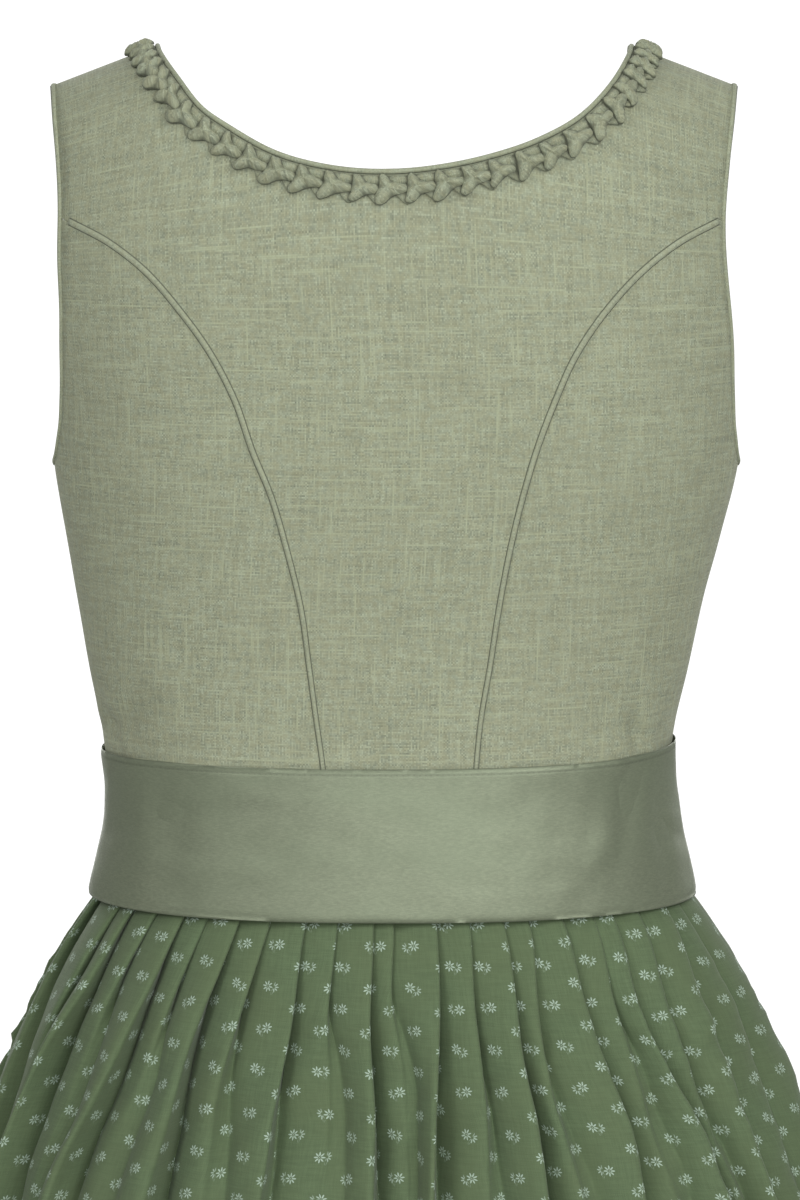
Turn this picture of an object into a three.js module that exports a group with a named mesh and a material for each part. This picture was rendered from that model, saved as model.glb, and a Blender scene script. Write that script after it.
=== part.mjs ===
// A sleeveless dirndl dress, filled out as if worn, with nobody in it.
// Millimetres, +Z up, +X the wearer's left, the front faces -Y, the back +Y.
// The origin is midway between the two shoulder seams, where the wearer's shoulders carry it.
//
// Every cloth piece is a thin wall worked out from one shape of the dress:
//   surf(a, g)  a = angle round the body in degrees, 0 centre back, +90 left side, 180 centre front
//               g = way down the cloth from the shoulder seam in millimetres
// and every piece sewn on top is made from points of that same shape, moved out.
import * as THREE from "three";

// ---------------------------------------------------------------- driving dimensions
const WALL = 1.3; // bodice shell with its seam allowances, pressed
const SKIRT_WALL = 1.3;
const BELT_WALL = 1.5;
const SEAM = 0.2; // half of the gap kept at a seam
const LIFT = 0.35; // air between a panel and a narrow strip on it
const BELT_LIFT = 1.2; // the belt bridges the small of the back
const CAP = 45; // rounding of the cloth over the shoulder
const TIP_X = 133; // middle of the shoulder strap
const SHOULDER_SLOPE = 0.4;
const SLOPE_REACH = 120; // depth at which the shoulder slope has died out
const WAIST_SEAM = -345;
const BELT_TOP = -314;
const BELT_FOOT = -383;
const BUST = { x: 76, h: -196, wide: 46, high: 44, out: 9 };
const RUCHE = { pitch: 11.2, inner: 2.9, outer: 15.6, height: 4.6 };
const BUTTON = { count: 6, radius: 5.5, thick: 3.2, top: -177, step: 25 };

// Sections of the bodice: half width, depth behind and before the side seams, sideways sway.
const TORSO = [
  { h: 0, half: 171, back: 84, front: 70, sway: 0 },
  { h: -40, half: 171, back: 88, front: 76, sway: 0.5 },
  { h: -80, half: 170, back: 95, front: 84, sway: 1 },
  { h: -117, half: 166, back: 98, front: 96, sway: -1 },
  { h: -157, half: 160.5, back: 98, front: 110, sway: -1.5 },
  { h: -184, half: 157.6, back: 96, front: 119, sway: -1 },
  { h: -217, half: 151, back: 92, front: 122, sway: 0.3 },
  { h: -242, half: 145.5, back: 89, front: 116, sway: 1.6 },
  { h: -277, half: 138.8, back: 86, front: 105, sway: 2.4 },
  { h: -314, half: 131.6, back: 85, front: 95, sway: 2.6 },
  { h: -335, half: 131, back: 87, front: 93, sway: 1.4 },
  { h: -353, half: 133.2, back: 89, front: 95, sway: 0.6 },
  { h: -383, half: 139.6, back: 92, front: 99, sway: 0.6 },
];

// Neckline from the left neck point round to the right one, as seen square on.
const NECK_BACK = [
  { x: 107.6, z: 9.6 },
  { x: 96.7, z: -3 },
  { x: 85, z: -16.3 },
  { x: 73.2, z: -24.1 },
  { x: 53, z: -35 },
  { x: 25.3, z: -41.9 },
  { x: -1.9, z: -43.1 },
  { x: -23.3, z: -40.8 },
  { x: -43.8, z: -36.4 },
  { x: -64.4, z: -29.5 },
  { x: -82.8, z: -19.5 },
  { x: -96.7, z: -6.3 },
  { x: -108.2, z: 9.4 },
];
// Half of the front neckline, from the neck point to the centre front.
const NECK_FRONT = [
  { x: 107.9, z: 9.5 },
  { x: 109.5, z: -18 },
  { x: 108, z: -55 },
  { x: 102, z: -88 },
  { x: 86, z: -117 },
  { x: 58, z: -137 },
  { x: 28, z: -146 },
  { x: 0, z: -148 },
];
// Princess seams of the back, from the armhole down to the waist seam.
const PRINCESS_BACK = [
  { z: -67.5, left: 149.2, right: -149.2 },
  { z: -77.6, left: 127.7, right: -127.9 },
  { z: -89, left: 112.2, right: -112.3 },
  { z: -106.5, left: 96.2, right: -95.4 },
  { z: -127, left: 81.3, right: -81.2 },
  { z: -147, left: 71, right: -72.1 },
  { z: -169, left: 63.4, right: -63.9 },
  { z: -190, left: 54.9, right: -57.8 },
  { z: -213, left: 48.3, right: -52.4 },
  { z: -240, left: 41.9, right: -47.4 },
  { z: -268, left: 38.1, right: -43.2 },
  { z: -292, left: 35, right: -39.2 },
  { z: -314, left: 32, right: -37.1 },
  { z: -345, left: 30, right: -35.5 },
];
// Princess seams of the front, over the bust.
const PRINCESS_FRONT = [
  { z: -98, x: 141 },
  { z: -118, x: 118 },
  { z: -146, x: 97 },
  { z: -176, x: 84 },
  { z: -210, x: 77 },
  { z: -246, x: 68 },
  { z: -284, x: 58 },
  { z: -314, x: 51 },
  { z: -345, x: 47 },
];
// Armhole: the angle of its back and front edge at each level.
const ARMHOLE = [
  { h: 0, back: 63.2, front: 116.8 },
  { h: -14, back: 61.3, front: 119.8 },
  { h: -37, back: 59.4, front: 123 },
  { h: -66, back: 58.6, front: 125.6 },
  { h: -96, back: 60.8, front: 126.2 },
  { h: -125, back: 65, front: 123.6 },
  { h: -150, back: 69.4, front: 118.4 },
  { h: -168, back: 74.3, front: 111.5 },
  { h: -179, back: 80.6, front: 102.5 },
  { h: -184, back: 90, front: 90 },
];
// Skirt, level by level: mean ring, height of the pleats, how far they tuck under, how far open.
const SKIRT = [
  { z: -346.4, half: 127, back: 82.5, front: 88, out: 3.2, tuck: 6.5, fade: 0 },
  { z: -385, half: 135.5, back: 88, front: 95, out: 3.2, tuck: 6.5, fade: 0 },
  { z: -408, half: 153.5, back: 101, front: 105, out: 5.2, tuck: 3, fade: 0.1 },
  { z: -460, half: 180, back: 125, front: 127, out: 8, tuck: -6, fade: 0.5 },
  { z: -600, half: 232, back: 174, front: 171, out: 11.5, tuck: -12, fade: 0.9 },
  { z: -1015, half: 347, back: 281, front: 272, out: 15, tuck: -18, fade: 1 },
];
// Pleats in the order they are laid, from one side seam to the other: place of the fold edge at
// the waist and low down as a share of the way, and how deep the fold still is low down.
const FOLDS_BACK = [
  { at: 0.028, low: 0.034, deep: 0.6 },
  { at: 0.11, low: 0.094, deep: 0.6 },
  { at: 0.142, low: 0.13, deep: 0.9 },
  { at: 0.181, low: 0.172, deep: 0.1 },
  { at: 0.222, low: 0.207, deep: 1 },
  { at: 0.26, low: 0.25, deep: 0.15 },
  { at: 0.304, low: 0.29, deep: 1 },
  { at: 0.343, low: 0.338, deep: 0.4 },
  { at: 0.39, low: 0.389, deep: 0.7 },
  { at: 0.43, low: 0.434, deep: 0.1 },
  { at: 0.475, low: 0.479, deep: 0.9 },
  { at: 0.503, low: 0.507, deep: 0.1 },
  { at: 0.553, low: 0.539, deep: 1 },
  { at: 0.594, low: 0.584, deep: 0.3 },
  { at: 0.637, low: 0.626, deep: 1 },
  { at: 0.669, low: 0.662, deep: 0.3 },
  { at: 0.714, low: 0.71, deep: 0.7 },
  { at: 0.756, low: 0.75, deep: 0.1 },
  { at: 0.789, low: 0.784, deep: 1 },
  { at: 0.826, low: 0.818, deep: 0.5 },
  { at: 0.876, low: 0.86, deep: 1 },
  { at: 0.918, low: 0.91, deep: 0.2 },
  { at: 0.978, low: 0.97, deep: 0.9 },
];
const FOLDS_FRONT = [
  { at: 0.034, low: 0.03, deep: 0.5 },
  { at: 0.081, low: 0.079, deep: 0.9 },
  { at: 0.127, low: 0.122, deep: 0.1 },
  { at: 0.168, low: 0.17, deep: 1 },
  { at: 0.217, low: 0.213, deep: 0.3 },
  { at: 0.262, low: 0.266, deep: 0.8 },
  { at: 0.301, low: 0.305, deep: 0.1 },
  { at: 0.35, low: 0.352, deep: 1 },
  { at: 0.392, low: 0.398, deep: 0.4 },
  { at: 0.44, low: 0.442, deep: 0.7 },
  { at: 0.478, low: 0.476, deep: 0.2 },
  { at: 0.531, low: 0.527, deep: 1 },
  { at: 0.574, low: 0.577, deep: 0.2 },
  { at: 0.623, low: 0.619, deep: 0.8 },
  { at: 0.664, low: 0.663, deep: 0.3 },
  { at: 0.709, low: 0.713, deep: 1 },
  { at: 0.757, low: 0.752, deep: 0.1 },
  { at: 0.801, low: 0.803, deep: 0.8 },
  { at: 0.846, low: 0.842, deep: 0.3 },
  { at: 0.893, low: 0.897, deep: 1 },
  { at: 0.936, low: 0.931, deep: 0.2 },
  { at: 0.979, low: 0.976, deep: 0.7 },
];

// Cloths: linen of the bodice, its piping, smooth cloth of the belt, printed cotton of the skirt.
const cloth = (color, roughness) =>
  new THREE.MeshStandardMaterial({ color, roughness, metalness: 0 });
const LINEN = cloth(0x9ea68d, 0.9);
const TRIM = cloth(0xa3ab93, 0.88);
const SATEEN = cloth(0x8b9e82, 0.62);
const COTTON = cloth(0x637a58, 0.85);
const BUTTON_METAL = new THREE.MeshStandardMaterial({
  color: 0xa7a594,
  roughness: 0.42,
  metalness: 0.8,
});

// ---------------------------------------------------------------- curves
// A smooth curve through a table: column `y` over column `x`, both plain numbers.
function smooth(xs, ys) {
  const n = xs.length;
  const step = xs.map((x, i) => (i + 1 < n ? xs[i + 1] - x : 0));
  const rise = xs.map((x, i) => (i + 1 < n ? (ys[i + 1] - ys[i]) / step[i] : 0));
  const slope = xs.map((x, i) => {
    if (i === 0) return rise[0];
    if (i === n - 1) return rise[n - 2];
    return (rise[i - 1] * step[i] + rise[i] * step[i - 1]) / (step[i] + step[i - 1]);
  });
  return (x) => {
    let i = 0;
    while (i < n - 2 && x > xs[i + 1]) i++;
    const h = step[i];
    const t = Math.min(1, Math.max(0, (x - xs[i]) / h));
    const t2 = t * t;
    const t3 = t2 * t;
    return (
      (2 * t3 - 3 * t2 + 1) * ys[i] +
      (t3 - 2 * t2 + t) * h * slope[i] +
      (3 * t2 - 2 * t3) * ys[i + 1] +
      (t3 - t2) * h * slope[i + 1]
    );
  };
}
const column = (rows, key) => rows.map((row) => row[key]);

// A smooth line through 2D points, given back as `count` + 1 points at even steps along it.
function evenly(points, count) {
  const along = [0];
  for (let i = 1; i < points.length; i++)
    along.push(
      along[i - 1] +
        Math.hypot(points[i][0] - points[i - 1][0], points[i][1] - points[i - 1][1]),
    );
  const fx = smooth(along, points.map((p) => p[0]));
  const fy = smooth(along, points.map((p) => p[1]));
  const end = along[along.length - 1];
  return Array.from({ length: count + 1 }, (_, i) => {
    const s = (end * i) / count;
    return [fx(s), fy(s)];
  });
}

// ---------------------------------------------------------------- the shape of the bodice
const torsoUp = [...TORSO].reverse();
const levels = column(torsoUp, "h");
const halfAt = smooth(levels, column(torsoUp, "half"));
const backAt = smooth(levels, column(torsoUp, "back"));
const frontAt = smooth(levels, column(torsoUp, "front"));
const swayAt = smooth(levels, column(torsoUp, "sway"));
const ROUND = 2.4; // how square the cross-section is
const QUARTER = (CAP * Math.PI) / 2;

const levelOf = (g) =>
  g < QUARTER ? -CAP * (1 - Math.cos(g / CAP)) : -CAP - (g - QUARTER);
const wayOf = (h) =>
  h > -CAP ? CAP * Math.acos(Math.min(1, 1 + h / CAP)) : QUARTER - CAP - h;
const dropAt = (x) =>
  -SHOULDER_SLOPE * (Math.hypot(x, 40) - Math.hypot(TIP_X, 40));
const slopeShare = (h) => {
  const t = Math.min(1, Math.max(0, 1 + h / SLOPE_REACH));
  return t * t * (3 - 2 * t);
};

function surf(a, g) {
  if (a > 180) a -= 360;
  if (a < -180) a += 360;
  if (g < 0) {
    g = -g;
    a = Math.sign(a) * (180 - Math.abs(a));
  }
  const h = levelOf(g);
  const deep = g < QUARTER ? Math.sin(g / CAP) : 1;
  const side = Math.sign(a) || 1;
  const around = Math.abs(a);
  const behind = around <= 90;
  const phi = ((behind ? around : 180 - around) * Math.PI) / 180;
  const x = side * halfAt(h) * Math.pow(Math.max(0, Math.sin(phi)), 2 / ROUND);
  const c = Math.max(0, Math.cos(phi));
  let y = behind ? backAt(h) * deep * c : -frontAt(h) * deep * c;
  if (!behind) {
    const u = (Math.abs(x) - BUST.x) / BUST.wide;
    const v = (h - BUST.h) / BUST.high;
    y -= BUST.out * Math.exp(-u * u - v * v) * c;
  }
  return new THREE.Vector3(x + swayAt(h), y, h + dropAt(x) * slopeShare(h));
}

const TINY_A = 0.05;
const TINY_G = 0.05;
function frameAt(a, g) {
  const p = surf(a, g);
  const pa = surf(a + TINY_A, g).sub(surf(a - TINY_A, g)).divideScalar(2 * TINY_A);
  const pg = surf(a, g + TINY_G).sub(surf(a, g - TINY_G)).divideScalar(2 * TINY_G);
  const n = new THREE.Vector3().crossVectors(pa, pg).normalize();
  return { p, pa, pg, n };
}

// The point of the shape nearest to q, starting from (a, g).
function nearest(q, a, g) {
  for (let i = 0; i < 6; i++) {
    const { p, pa, pg } = frameAt(a, g);
    const d = new THREE.Vector3().subVectors(q, p);
    const aa = pa.dot(pa);
    const ag = pa.dot(pg);
    const gg = pg.dot(pg);
    const da = d.dot(pa);
    const dg = d.dot(pg);
    const det = aa * gg - ag * ag;
    if (Math.abs(det) < 1e-9) break;
    a += (da * gg - dg * ag) / det;
    g += (dg * aa - da * ag) / det;
  }
  return frameAt(a, g);
}

// Where the square-on view point (x, z) lies on the back or on the front.
function place(x, z, front = false) {
  let h = z;
  for (let i = 0; i < 60; i++) h = Math.min(0, z - dropAt(x - swayAt(h)) * slopeShare(h));
  const across = x - swayAt(h);
  const share = Math.min(1, Math.abs(across) / halfAt(h));
  const phi = (Math.asin(Math.pow(share, ROUND / 2)) * 180) / Math.PI;
  return [Math.sign(across) * (front ? 180 - phi : phi), wayOf(h)];
}

// ---------------------------------------------------------------- solids
function meshOf(name, material, positions, triangles) {
  const geometry = new THREE.BufferGeometry();
  geometry.setAttribute(
    "position",
    new THREE.BufferAttribute(new Float32Array(positions), 3),
  );
  geometry.setIndex(triangles);
  geometry.computeVertexNormals();
  const mesh = new THREE.Mesh(geometry, material);
  mesh.name = name;
  return mesh;
}

function volumeOf(positions, triangles) {
  let v = 0;
  const at = (i) => new THREE.Vector3(...positions.slice(3 * i, 3 * i + 3));
  for (let i = 0; i < triangles.length; i += 3) {
    const [a, b, c] = [at(triangles[i]), at(triangles[i + 1]), at(triangles[i + 2])];
    v += a.dot(b.cross(c)) / 6;
  }
  return v;
}

function facingOut(name, material, positions, triangles) {
  if (volumeOf(positions, triangles) < 0)
    for (let i = 0; i < triangles.length; i += 3)
      [triangles[i + 1], triangles[i + 2]] = [triangles[i + 2], triangles[i + 1]];
  return meshOf(name, material, positions, triangles);
}

// A wall between two grids of the same size, `outer` and `inner`: rows of columns of Vector3.
function wall(name, material, outer, inner) {
  const rows = outer.length;
  const cols = outer[0].length;
  const positions = [];
  for (const grid of [outer, inner])
    for (const row of grid) for (const p of row) positions.push(p.x, p.y, p.z);
  const id = (k, r, c) => k * rows * cols + r * cols + c;
  const triangles = [];
  const quad = (a, b, c, d) => {
    const at = (i) => new THREE.Vector3(...positions.slice(3 * i, 3 * i + 3));
    // the shorter diagonal
    if (at(a).distanceTo(at(c)) <= at(b).distanceTo(at(d)))
      triangles.push(a, b, c, a, c, d);
    else triangles.push(a, b, d, b, c, d);
  };
  for (let r = 0; r + 1 < rows; r++)
    for (let c = 0; c + 1 < cols; c++) {
      quad(id(0, r, c), id(0, r, c + 1), id(0, r + 1, c + 1), id(0, r + 1, c));
      quad(id(1, r, c), id(1, r + 1, c), id(1, r + 1, c + 1), id(1, r, c + 1));
    }
  for (let c = 0; c + 1 < cols; c++) {
    quad(id(0, 0, c), id(1, 0, c), id(1, 0, c + 1), id(0, 0, c + 1));
    const r = rows - 1;
    quad(id(0, r, c + 1), id(1, r, c + 1), id(1, r, c), id(0, r, c));
  }
  for (let r = 0; r + 1 < rows; r++) {
    quad(id(0, r + 1, 0), id(1, r + 1, 0), id(1, r, 0), id(0, r, 0));
    const c = cols - 1;
    quad(id(0, r, c), id(1, r, c), id(1, r + 1, c), id(0, r + 1, c));
  }
  return facingOut(name, material, positions, triangles);
}

// A strip swept through cross-sections (arrays of Vector3 with the same count), closed or capped.
function sweep(name, material, sections, closed) {
  const n = sections.length;
  const m = sections[0].length;
  const positions = [];
  for (const s of sections) for (const p of s) positions.push(p.x, p.y, p.z);
  const triangles = [];
  const last = closed ? n : n - 1;
  for (let i = 0; i < last; i++)
    for (let j = 0; j < m; j++) {
      const a = i * m + j;
      const b = i * m + ((j + 1) % m);
      const c = ((i + 1) % n) * m + ((j + 1) % m);
      const d = ((i + 1) % n) * m + j;
      triangles.push(a, b, c, a, c, d);
    }
  if (!closed)
    for (let j = 1; j + 1 < m; j++) {
      triangles.push(0, j + 1, j);
      const e = (n - 1) * m;
      triangles.push(e, e + j, e + j + 1);
    }
  return facingOut(name, material, positions, triangles);
}

// ---------------------------------------------------------------- bodice panels
// Four edges (arrays of [a, g]) to a smooth grid of [a, g]; left and right run up, bottom and top across.
function patch(left, right, bottom, top) {
  const rows = left.length - 1;
  const cols = bottom.length - 1;
  const mix = (p, q, t) => [p[0] + (q[0] - p[0]) * t, p[1] + (q[1] - p[1]) * t];
  return left.map((_, r) =>
    bottom.map((_, c) => {
      const s = c / cols;
      const t = r / rows;
      const across = mix(left[r], right[r], s);
      const up = mix(bottom[c], top[c], t);
      const low = mix(bottom[0], bottom[cols], s);
      const high = mix(top[0], top[cols], s);
      const both = mix(low, high, t);
      return [across[0] + up[0] - both[0], across[1] + up[1] - both[1]];
    }),
  );
}
function panel(name, cells) {
  const outer = cells.map((row) => row.map(([a, g]) => surf(a, g)));
  const inner = cells.map((row) =>
    row.map(([a, g]) => {
      const { p, n } = frameAt(a, g);
      return p.clone().addScaledVector(n, -WALL);
    }),
  );
  return wall(name, LINEN, outer, inner);
}

const SEAM_ROWS = 9; // rows along a princess seam, shared by the panels on both sides
const ARM_ROWS = 7; // rows along the armhole above it
const FOOT_COLS = 4;
const FRONT_COLS = 5;
const SIDE_COLS = 4;

const armBack = ARMHOLE.map((r) => [r.back, wayOf(r.h)]);
const armFront = ARMHOLE.map((r) => [r.front, wayOf(r.h)]);
const waistWay = wayOf(WAIST_SEAM);
const straight = (p, q, n) =>
  Array.from({ length: n + 1 }, (_, i) => [
    p[0] + ((q[0] - p[0]) * i) / n,
    p[1] + ((q[1] - p[1]) * i) / n,
  ]);

// The part of an armhole edge above (or below) the way g0 down.
function armPart(edge, g0, below, count) {
  const fine = evenly(edge, 160);
  const kept = fine.filter(([, g]) => (below ? g > g0 : g < g0));
  const at = fine.findIndex(([, g]) => g >= g0);
  const [p, q] = [fine[at - 1], fine[at]];
  const t = (g0 - p[1]) / (q[1] - p[1]);
  const cut = [p[0] + (q[0] - p[0]) * t, g0];
  return evenly(below ? [cut, ...kept] : [...kept, cut], count);
}

// A princess seam as [x, z] points from the waist seam up to the armhole.
function princess(side, front) {
  const rows = front ? PRINCESS_FRONT : PRINCESS_BACK;
  const key = front ? "x" : side > 0 ? "left" : "right";
  const points = [...rows].reverse().map((r) => [front ? side * r.x : r[key], r.z]);
  return evenly(points, SEAM_ROWS);
}
// A line of [x, z] points moved square to itself, towards +x for a line that runs up.
const shifted = (points, by) =>
  points.map(([x, z], i) => {
    const a = points[Math.max(0, i - 1)];
    const b = points[Math.min(points.length - 1, i + 1)];
    const l = Math.hypot(b[0] - a[0], b[1] - a[1]);
    return [x + (by * (b[1] - a[1])) / l, z - (by * (b[0] - a[0])) / l];
  });
const onCloth = (points, front) => points.map(([x, z]) => place(x, z, front));

// A value of a line of [key, value] points whose keys rise or fall all the way.
function alongLine(line, key, column) {
  const rising = line[line.length - 1][column] > line[0][column];
  let i = 0;
  while (i < line.length - 2 && (rising ? line[i + 1][column] < key : line[i + 1][column] > key)) i++;
  const [p, q] = [line[i], line[i + 1]];
  const t = Math.min(1, Math.max(0, (key - p[column]) / (q[column] - p[column])));
  return p[1 - column] + (q[1 - column] - p[1 - column]) * t;
}

const neckAt = (x) => Math.abs(place(x, 40, false)[0]); // angle of the neck point on the shoulder seam
const neckX = (side) => (side > 0 ? NECK_BACK[0].x : NECK_BACK[NECK_BACK.length - 1].x);

const group = new THREE.Group();
const add = (mesh) => group.add(mesh);

// The back: one panel between the princess seams that also carries both straps. Its columns stand
// on the seams and the foot and reach up to the shoulder seams and the neck.
{
  const seams = {};
  const arms = {};
  for (const side of [1, -1]) {
    const seam = onCloth(shifted(princess(side, false), -side * SEAM), false);
    const edge = armBack.map(([a, g]) => [side * a, g]);
    const arm = armPart(edge, seam[seam.length - 1][1], false, ARM_ROWS).reverse();
    seam[seam.length - 1] = arm[0];
    arm[arm.length - 1] = [arm[arm.length - 1][0], SEAM];
    seams[side] = seam;
    arms[side] = arm;
  }
  const foot = straight(seams[1][0], seams[-1][0], FOOT_COLS);
  const bottom = [...[...seams[1]].reverse(), ...foot.slice(1, -1), ...seams[-1]];
  const neck = onCloth(evenly(NECK_BACK.map((r) => [r.x, r.z]), 120), false);
  const half = (side) => {
    const low = Math.abs(arms[side][0][0]);
    const high = Math.abs(arms[side][arms[side].length - 1][0]);
    return (a) => (Math.abs(a) / low) * high;
  };
  const top = bottom.map(([a]) => [Math.sign(a) * half(a < 0 ? -1 : 1)(a), 0]);
  for (const side of [1, -1]) {
    // one column stands just at the neck point
    const at = neckAt(neckX(side));
    let best = 0;
    top.forEach(([a], i) => {
      if (a * side > 0 && Math.abs(a * side - at) < Math.abs(top[best][0] * side - at)) best = i;
    });
    top[best][0] = side * at;
  }
  const done = top.map(([a]) => {
    const side = a < 0 ? -1 : 1;
    return [a, Math.abs(a) >= neckAt(neckX(side)) - 1e-9 ? SEAM : Math.max(SEAM, alongLine(neck, a, 0))];
  });
  add(panel("back_center", patch(arms[1], arms[-1], bottom, done)));
}
// The side backs.
for (const side of [1, -1]) {
  const seam = onCloth(shifted(princess(side, false), side * SEAM), false);
  const edge = armBack.map(([a, g]) => [side * a, g]);
  const arm = armPart(edge, seam[seam.length - 1][1], true, SIDE_COLS);
  arm[SIDE_COLS] = [side * (90 - 0.1), arm[SIDE_COLS][1]];
  seam[seam.length - 1] = arm[0];
  const under = straight([side * (90 - 0.1), waistWay], arm[SIDE_COLS], SEAM_ROWS);
  const foot = straight(seam[0], under[0], SIDE_COLS);
  add(panel(side > 0 ? "back_side_left" : "back_side_right", patch(seam, under, foot, arm)));
}
// The fronts: rows at level ways run from the princess seam and the armhole to the closing edge
// and the neck. The same rows end the side front at its seam.
const FRONT_GAP = 0.16; // degrees off the centre front
for (const side of [1, -1]) {
  const seamIn = onCloth(evenly(shifted(princess(side, true), -side * SEAM), 80), true);
  const seamOut = onCloth(evenly(shifted(princess(side, true), side * SEAM), 80), true);
  const edge = evenly(armFront.map(([a, g]) => [side * a, g]), 120);
  const neck = onCloth(evenly(NECK_FRONT.map((r) => [side * r.x, r.z]), 100), true);
  const atNeck = side * (180 - neckAt(neckX(side)));
  neck[0] = [atNeck, SEAM];
  const neckFoot = neck[neck.length - 1][1];
  const top = seamIn[seamIn.length - 1][1]; // where seam and armhole meet
  const ways = [SEAM];
  const put = (g) => ways.push(g);
  for (let i = 1; i <= ARM_ROWS; i++) put(SEAM + ((top - SEAM) * i) / ARM_ROWS);
  for (let i = 1; i <= SEAM_ROWS; i++) put(top + ((waistWay - top) * i) / SEAM_ROWS);
  for (const share of [0.5, 0.62, 0.75, 0.88]) put(neck[Math.round(100 * share)][1]);
  put(neckFoot);
  ways.sort((a, b) => b - a);
  const rows = ways.filter((g, i) => i === 0 || ways[i - 1] - g > 2.5 || g === top || g === SEAM);
  const inner = (g) =>
    g >= neckFoot ? side * (180 - FRONT_GAP) : alongLine(neck, g, 1);
  const outer = (g) => (g > top ? alongLine(seamIn, g, 1) : alongLine(edge, g, 1));
  const cells = rows.map((g) => {
    const [from, to] = [outer(g), inner(g)];
    return Array.from({ length: FRONT_COLS + 1 }, (_, c) => [from + ((to - from) * c) / FRONT_COLS, g]);
  });
  add(panel(side > 0 ? "front_left" : "front_right", cells));
  const arm = armPart(armFront.map(([a, g]) => [side * a, g]), top + 4 * SEAM, true, SIDE_COLS);
  arm[SIDE_COLS] = [side * (90 + 0.1), arm[SIDE_COLS][1]];
  const seam = rows.filter((g) => g > top + 1).map((g) => [alongLine(seamOut, g, 1), g]);
  seam.push(arm[0]);
  const under = straight([side * (90 + 0.1), waistWay], arm[SIDE_COLS], seam.length - 1);
  const foot = straight(seam[0], under[0], SIDE_COLS);
  add(panel(side > 0 ? "front_side_left" : "front_side_right", patch(seam, under, foot, arm)));
}

// ---------------------------------------------------------------- strips sewn on the cloth
// A path of [a, g] gets, at each point, the cloth point `w` millimetres away from the edge and
// `lift` above it. `away` is a far point on the side that w counts towards.
function stripSections(path, inward, profiles, closed) {
  const n = path.length;
  const base = path.map(([a, g]) => surf(a, g));
  return path.map(([a, g], i) => {
    const before = base[closed ? (i + n - 1) % n : Math.max(0, i - 1)];
    const after = base[closed ? (i + 1) % n : Math.min(n - 1, i + 1)];
    const t = new THREE.Vector3().subVectors(after, before).normalize();
    const { n: normal } = frameAt(a, g);
    const m = new THREE.Vector3().crossVectors(normal, t).normalize().multiplyScalar(inward);
    const profile = typeof profiles === "function" ? profiles(i) : profiles;
    return profile.map(([w, lift]) => {
      const q = base[i].clone().addScaledVector(m, w);
      const f = nearest(q, a, g);
      return f.p.clone().addScaledVector(f.n, lift);
    });
  });
}

// The whole neckline as one path: right front, back, left front.
function neckPath(count) {
  const half = (side) =>
    evenly(NECK_FRONT.map((r) => [side * r.x, r.z]), 40).map(([x, z]) => place(x, z, true));
  const back = evenly(NECK_BACK.map((r) => [r.x, r.z]), 60).map(([x, z]) => place(x, z));
  const gap = 0.35;
  const right = half(-1).reverse();
  const left = half(1);
  right[0] = [-(180 - gap), right[0][1]];
  left[left.length - 1] = [180 - gap, left[left.length - 1][1]];
  const whole = [...right.slice(0, -1), ...back.reverse(), ...left.slice(1)];
  const points = whole.map(([a, g]) => surf(a, g));
  const along = [0];
  for (let i = 1; i < points.length; i++)
    along.push(along[i - 1] + points[i].distanceTo(points[i - 1]));
  const end = along[along.length - 1];
  const made = [];
  for (let i = 0; i <= count; i++) {
    const s = (end * i) / count;
    let k = 0;
    while (k < points.length - 2 && along[k + 1] < s) k++;
    const t = (s - along[k]) / (along[k + 1] - along[k]);
    const [p, q] = [whole[k], whole[k + 1]];
    if (Math.sign(p[0]) === Math.sign(q[0]) && Math.abs(Math.abs(p[0]) - Math.abs(q[0])) > 40) {
      // across the shoulder seam: the same angle, counted from the other side
      const turned = [Math.sign(q[0]) * (180 - Math.abs(q[0])), -q[1]];
      made.push([p[0] + (turned[0] - p[0]) * t, p[1] + (turned[1] - p[1]) * t]);
    } else made.push([p[0] + (q[0] - p[0]) * t, p[1] + (q[1] - p[1]) * t]);
  }
  return { path: made, length: end };
}
const NECK_STEPS = 66;
{
  const { path } = neckPath(NECK_STEPS);
  const bead = [
    [0.15, 1.4 * LIFT],
    [2.3, 1.4 * LIFT],
    [2, 1.4],
    [0.5, 1.4],
  ];
  add(sweep("neck_piping", TRIM, stripSections(path, 1, bead, false), false));
}
// The ruche: a folded strip pinched at every pitch, here as the plain solid of its reach.
{
  const { length } = neckPath(10);
  const units = Math.round(length / RUCHE.pitch);
  const { path } = neckPath(units);
  const section = (i) => {
    const puff = i % 2;
    const out = RUCHE.outer - 1.6 * (1 - puff);
    const high = RUCHE.height - 0.8 * (1 - puff);
    return [
      [RUCHE.inner, 2 * LIFT],
      [out, 2 * LIFT],
      [out - 2.6, high],
      [RUCHE.inner + 2.2, high],
    ];
  };
  add(sweep("neck_ruche", TRIM, stripSections(path, 1, section, false), false));
}
// Armhole piping, a closed ring on each side.
for (const side of [1, -1]) {
  const back = evenly(armBack, 18).map(([a, g]) => [side * a, g]);
  const front = evenly(armFront, 18).map(([a, g]) => [side * a, g]).reverse();
  const ring = [...back.slice(0, -1), ...front.slice(0, -1)];
  const bead = [
    [0.15, LIFT],
    [2.3, LIFT],
    [2, 1.3],
    [0.5, 1.3],
  ];
  add(
    sweep(
      side > 0 ? "armhole_piping_left" : "armhole_piping_right",
      TRIM,
      stripSections(ring, -side, bead, true),
      true,
    ),
  );
}
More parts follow.
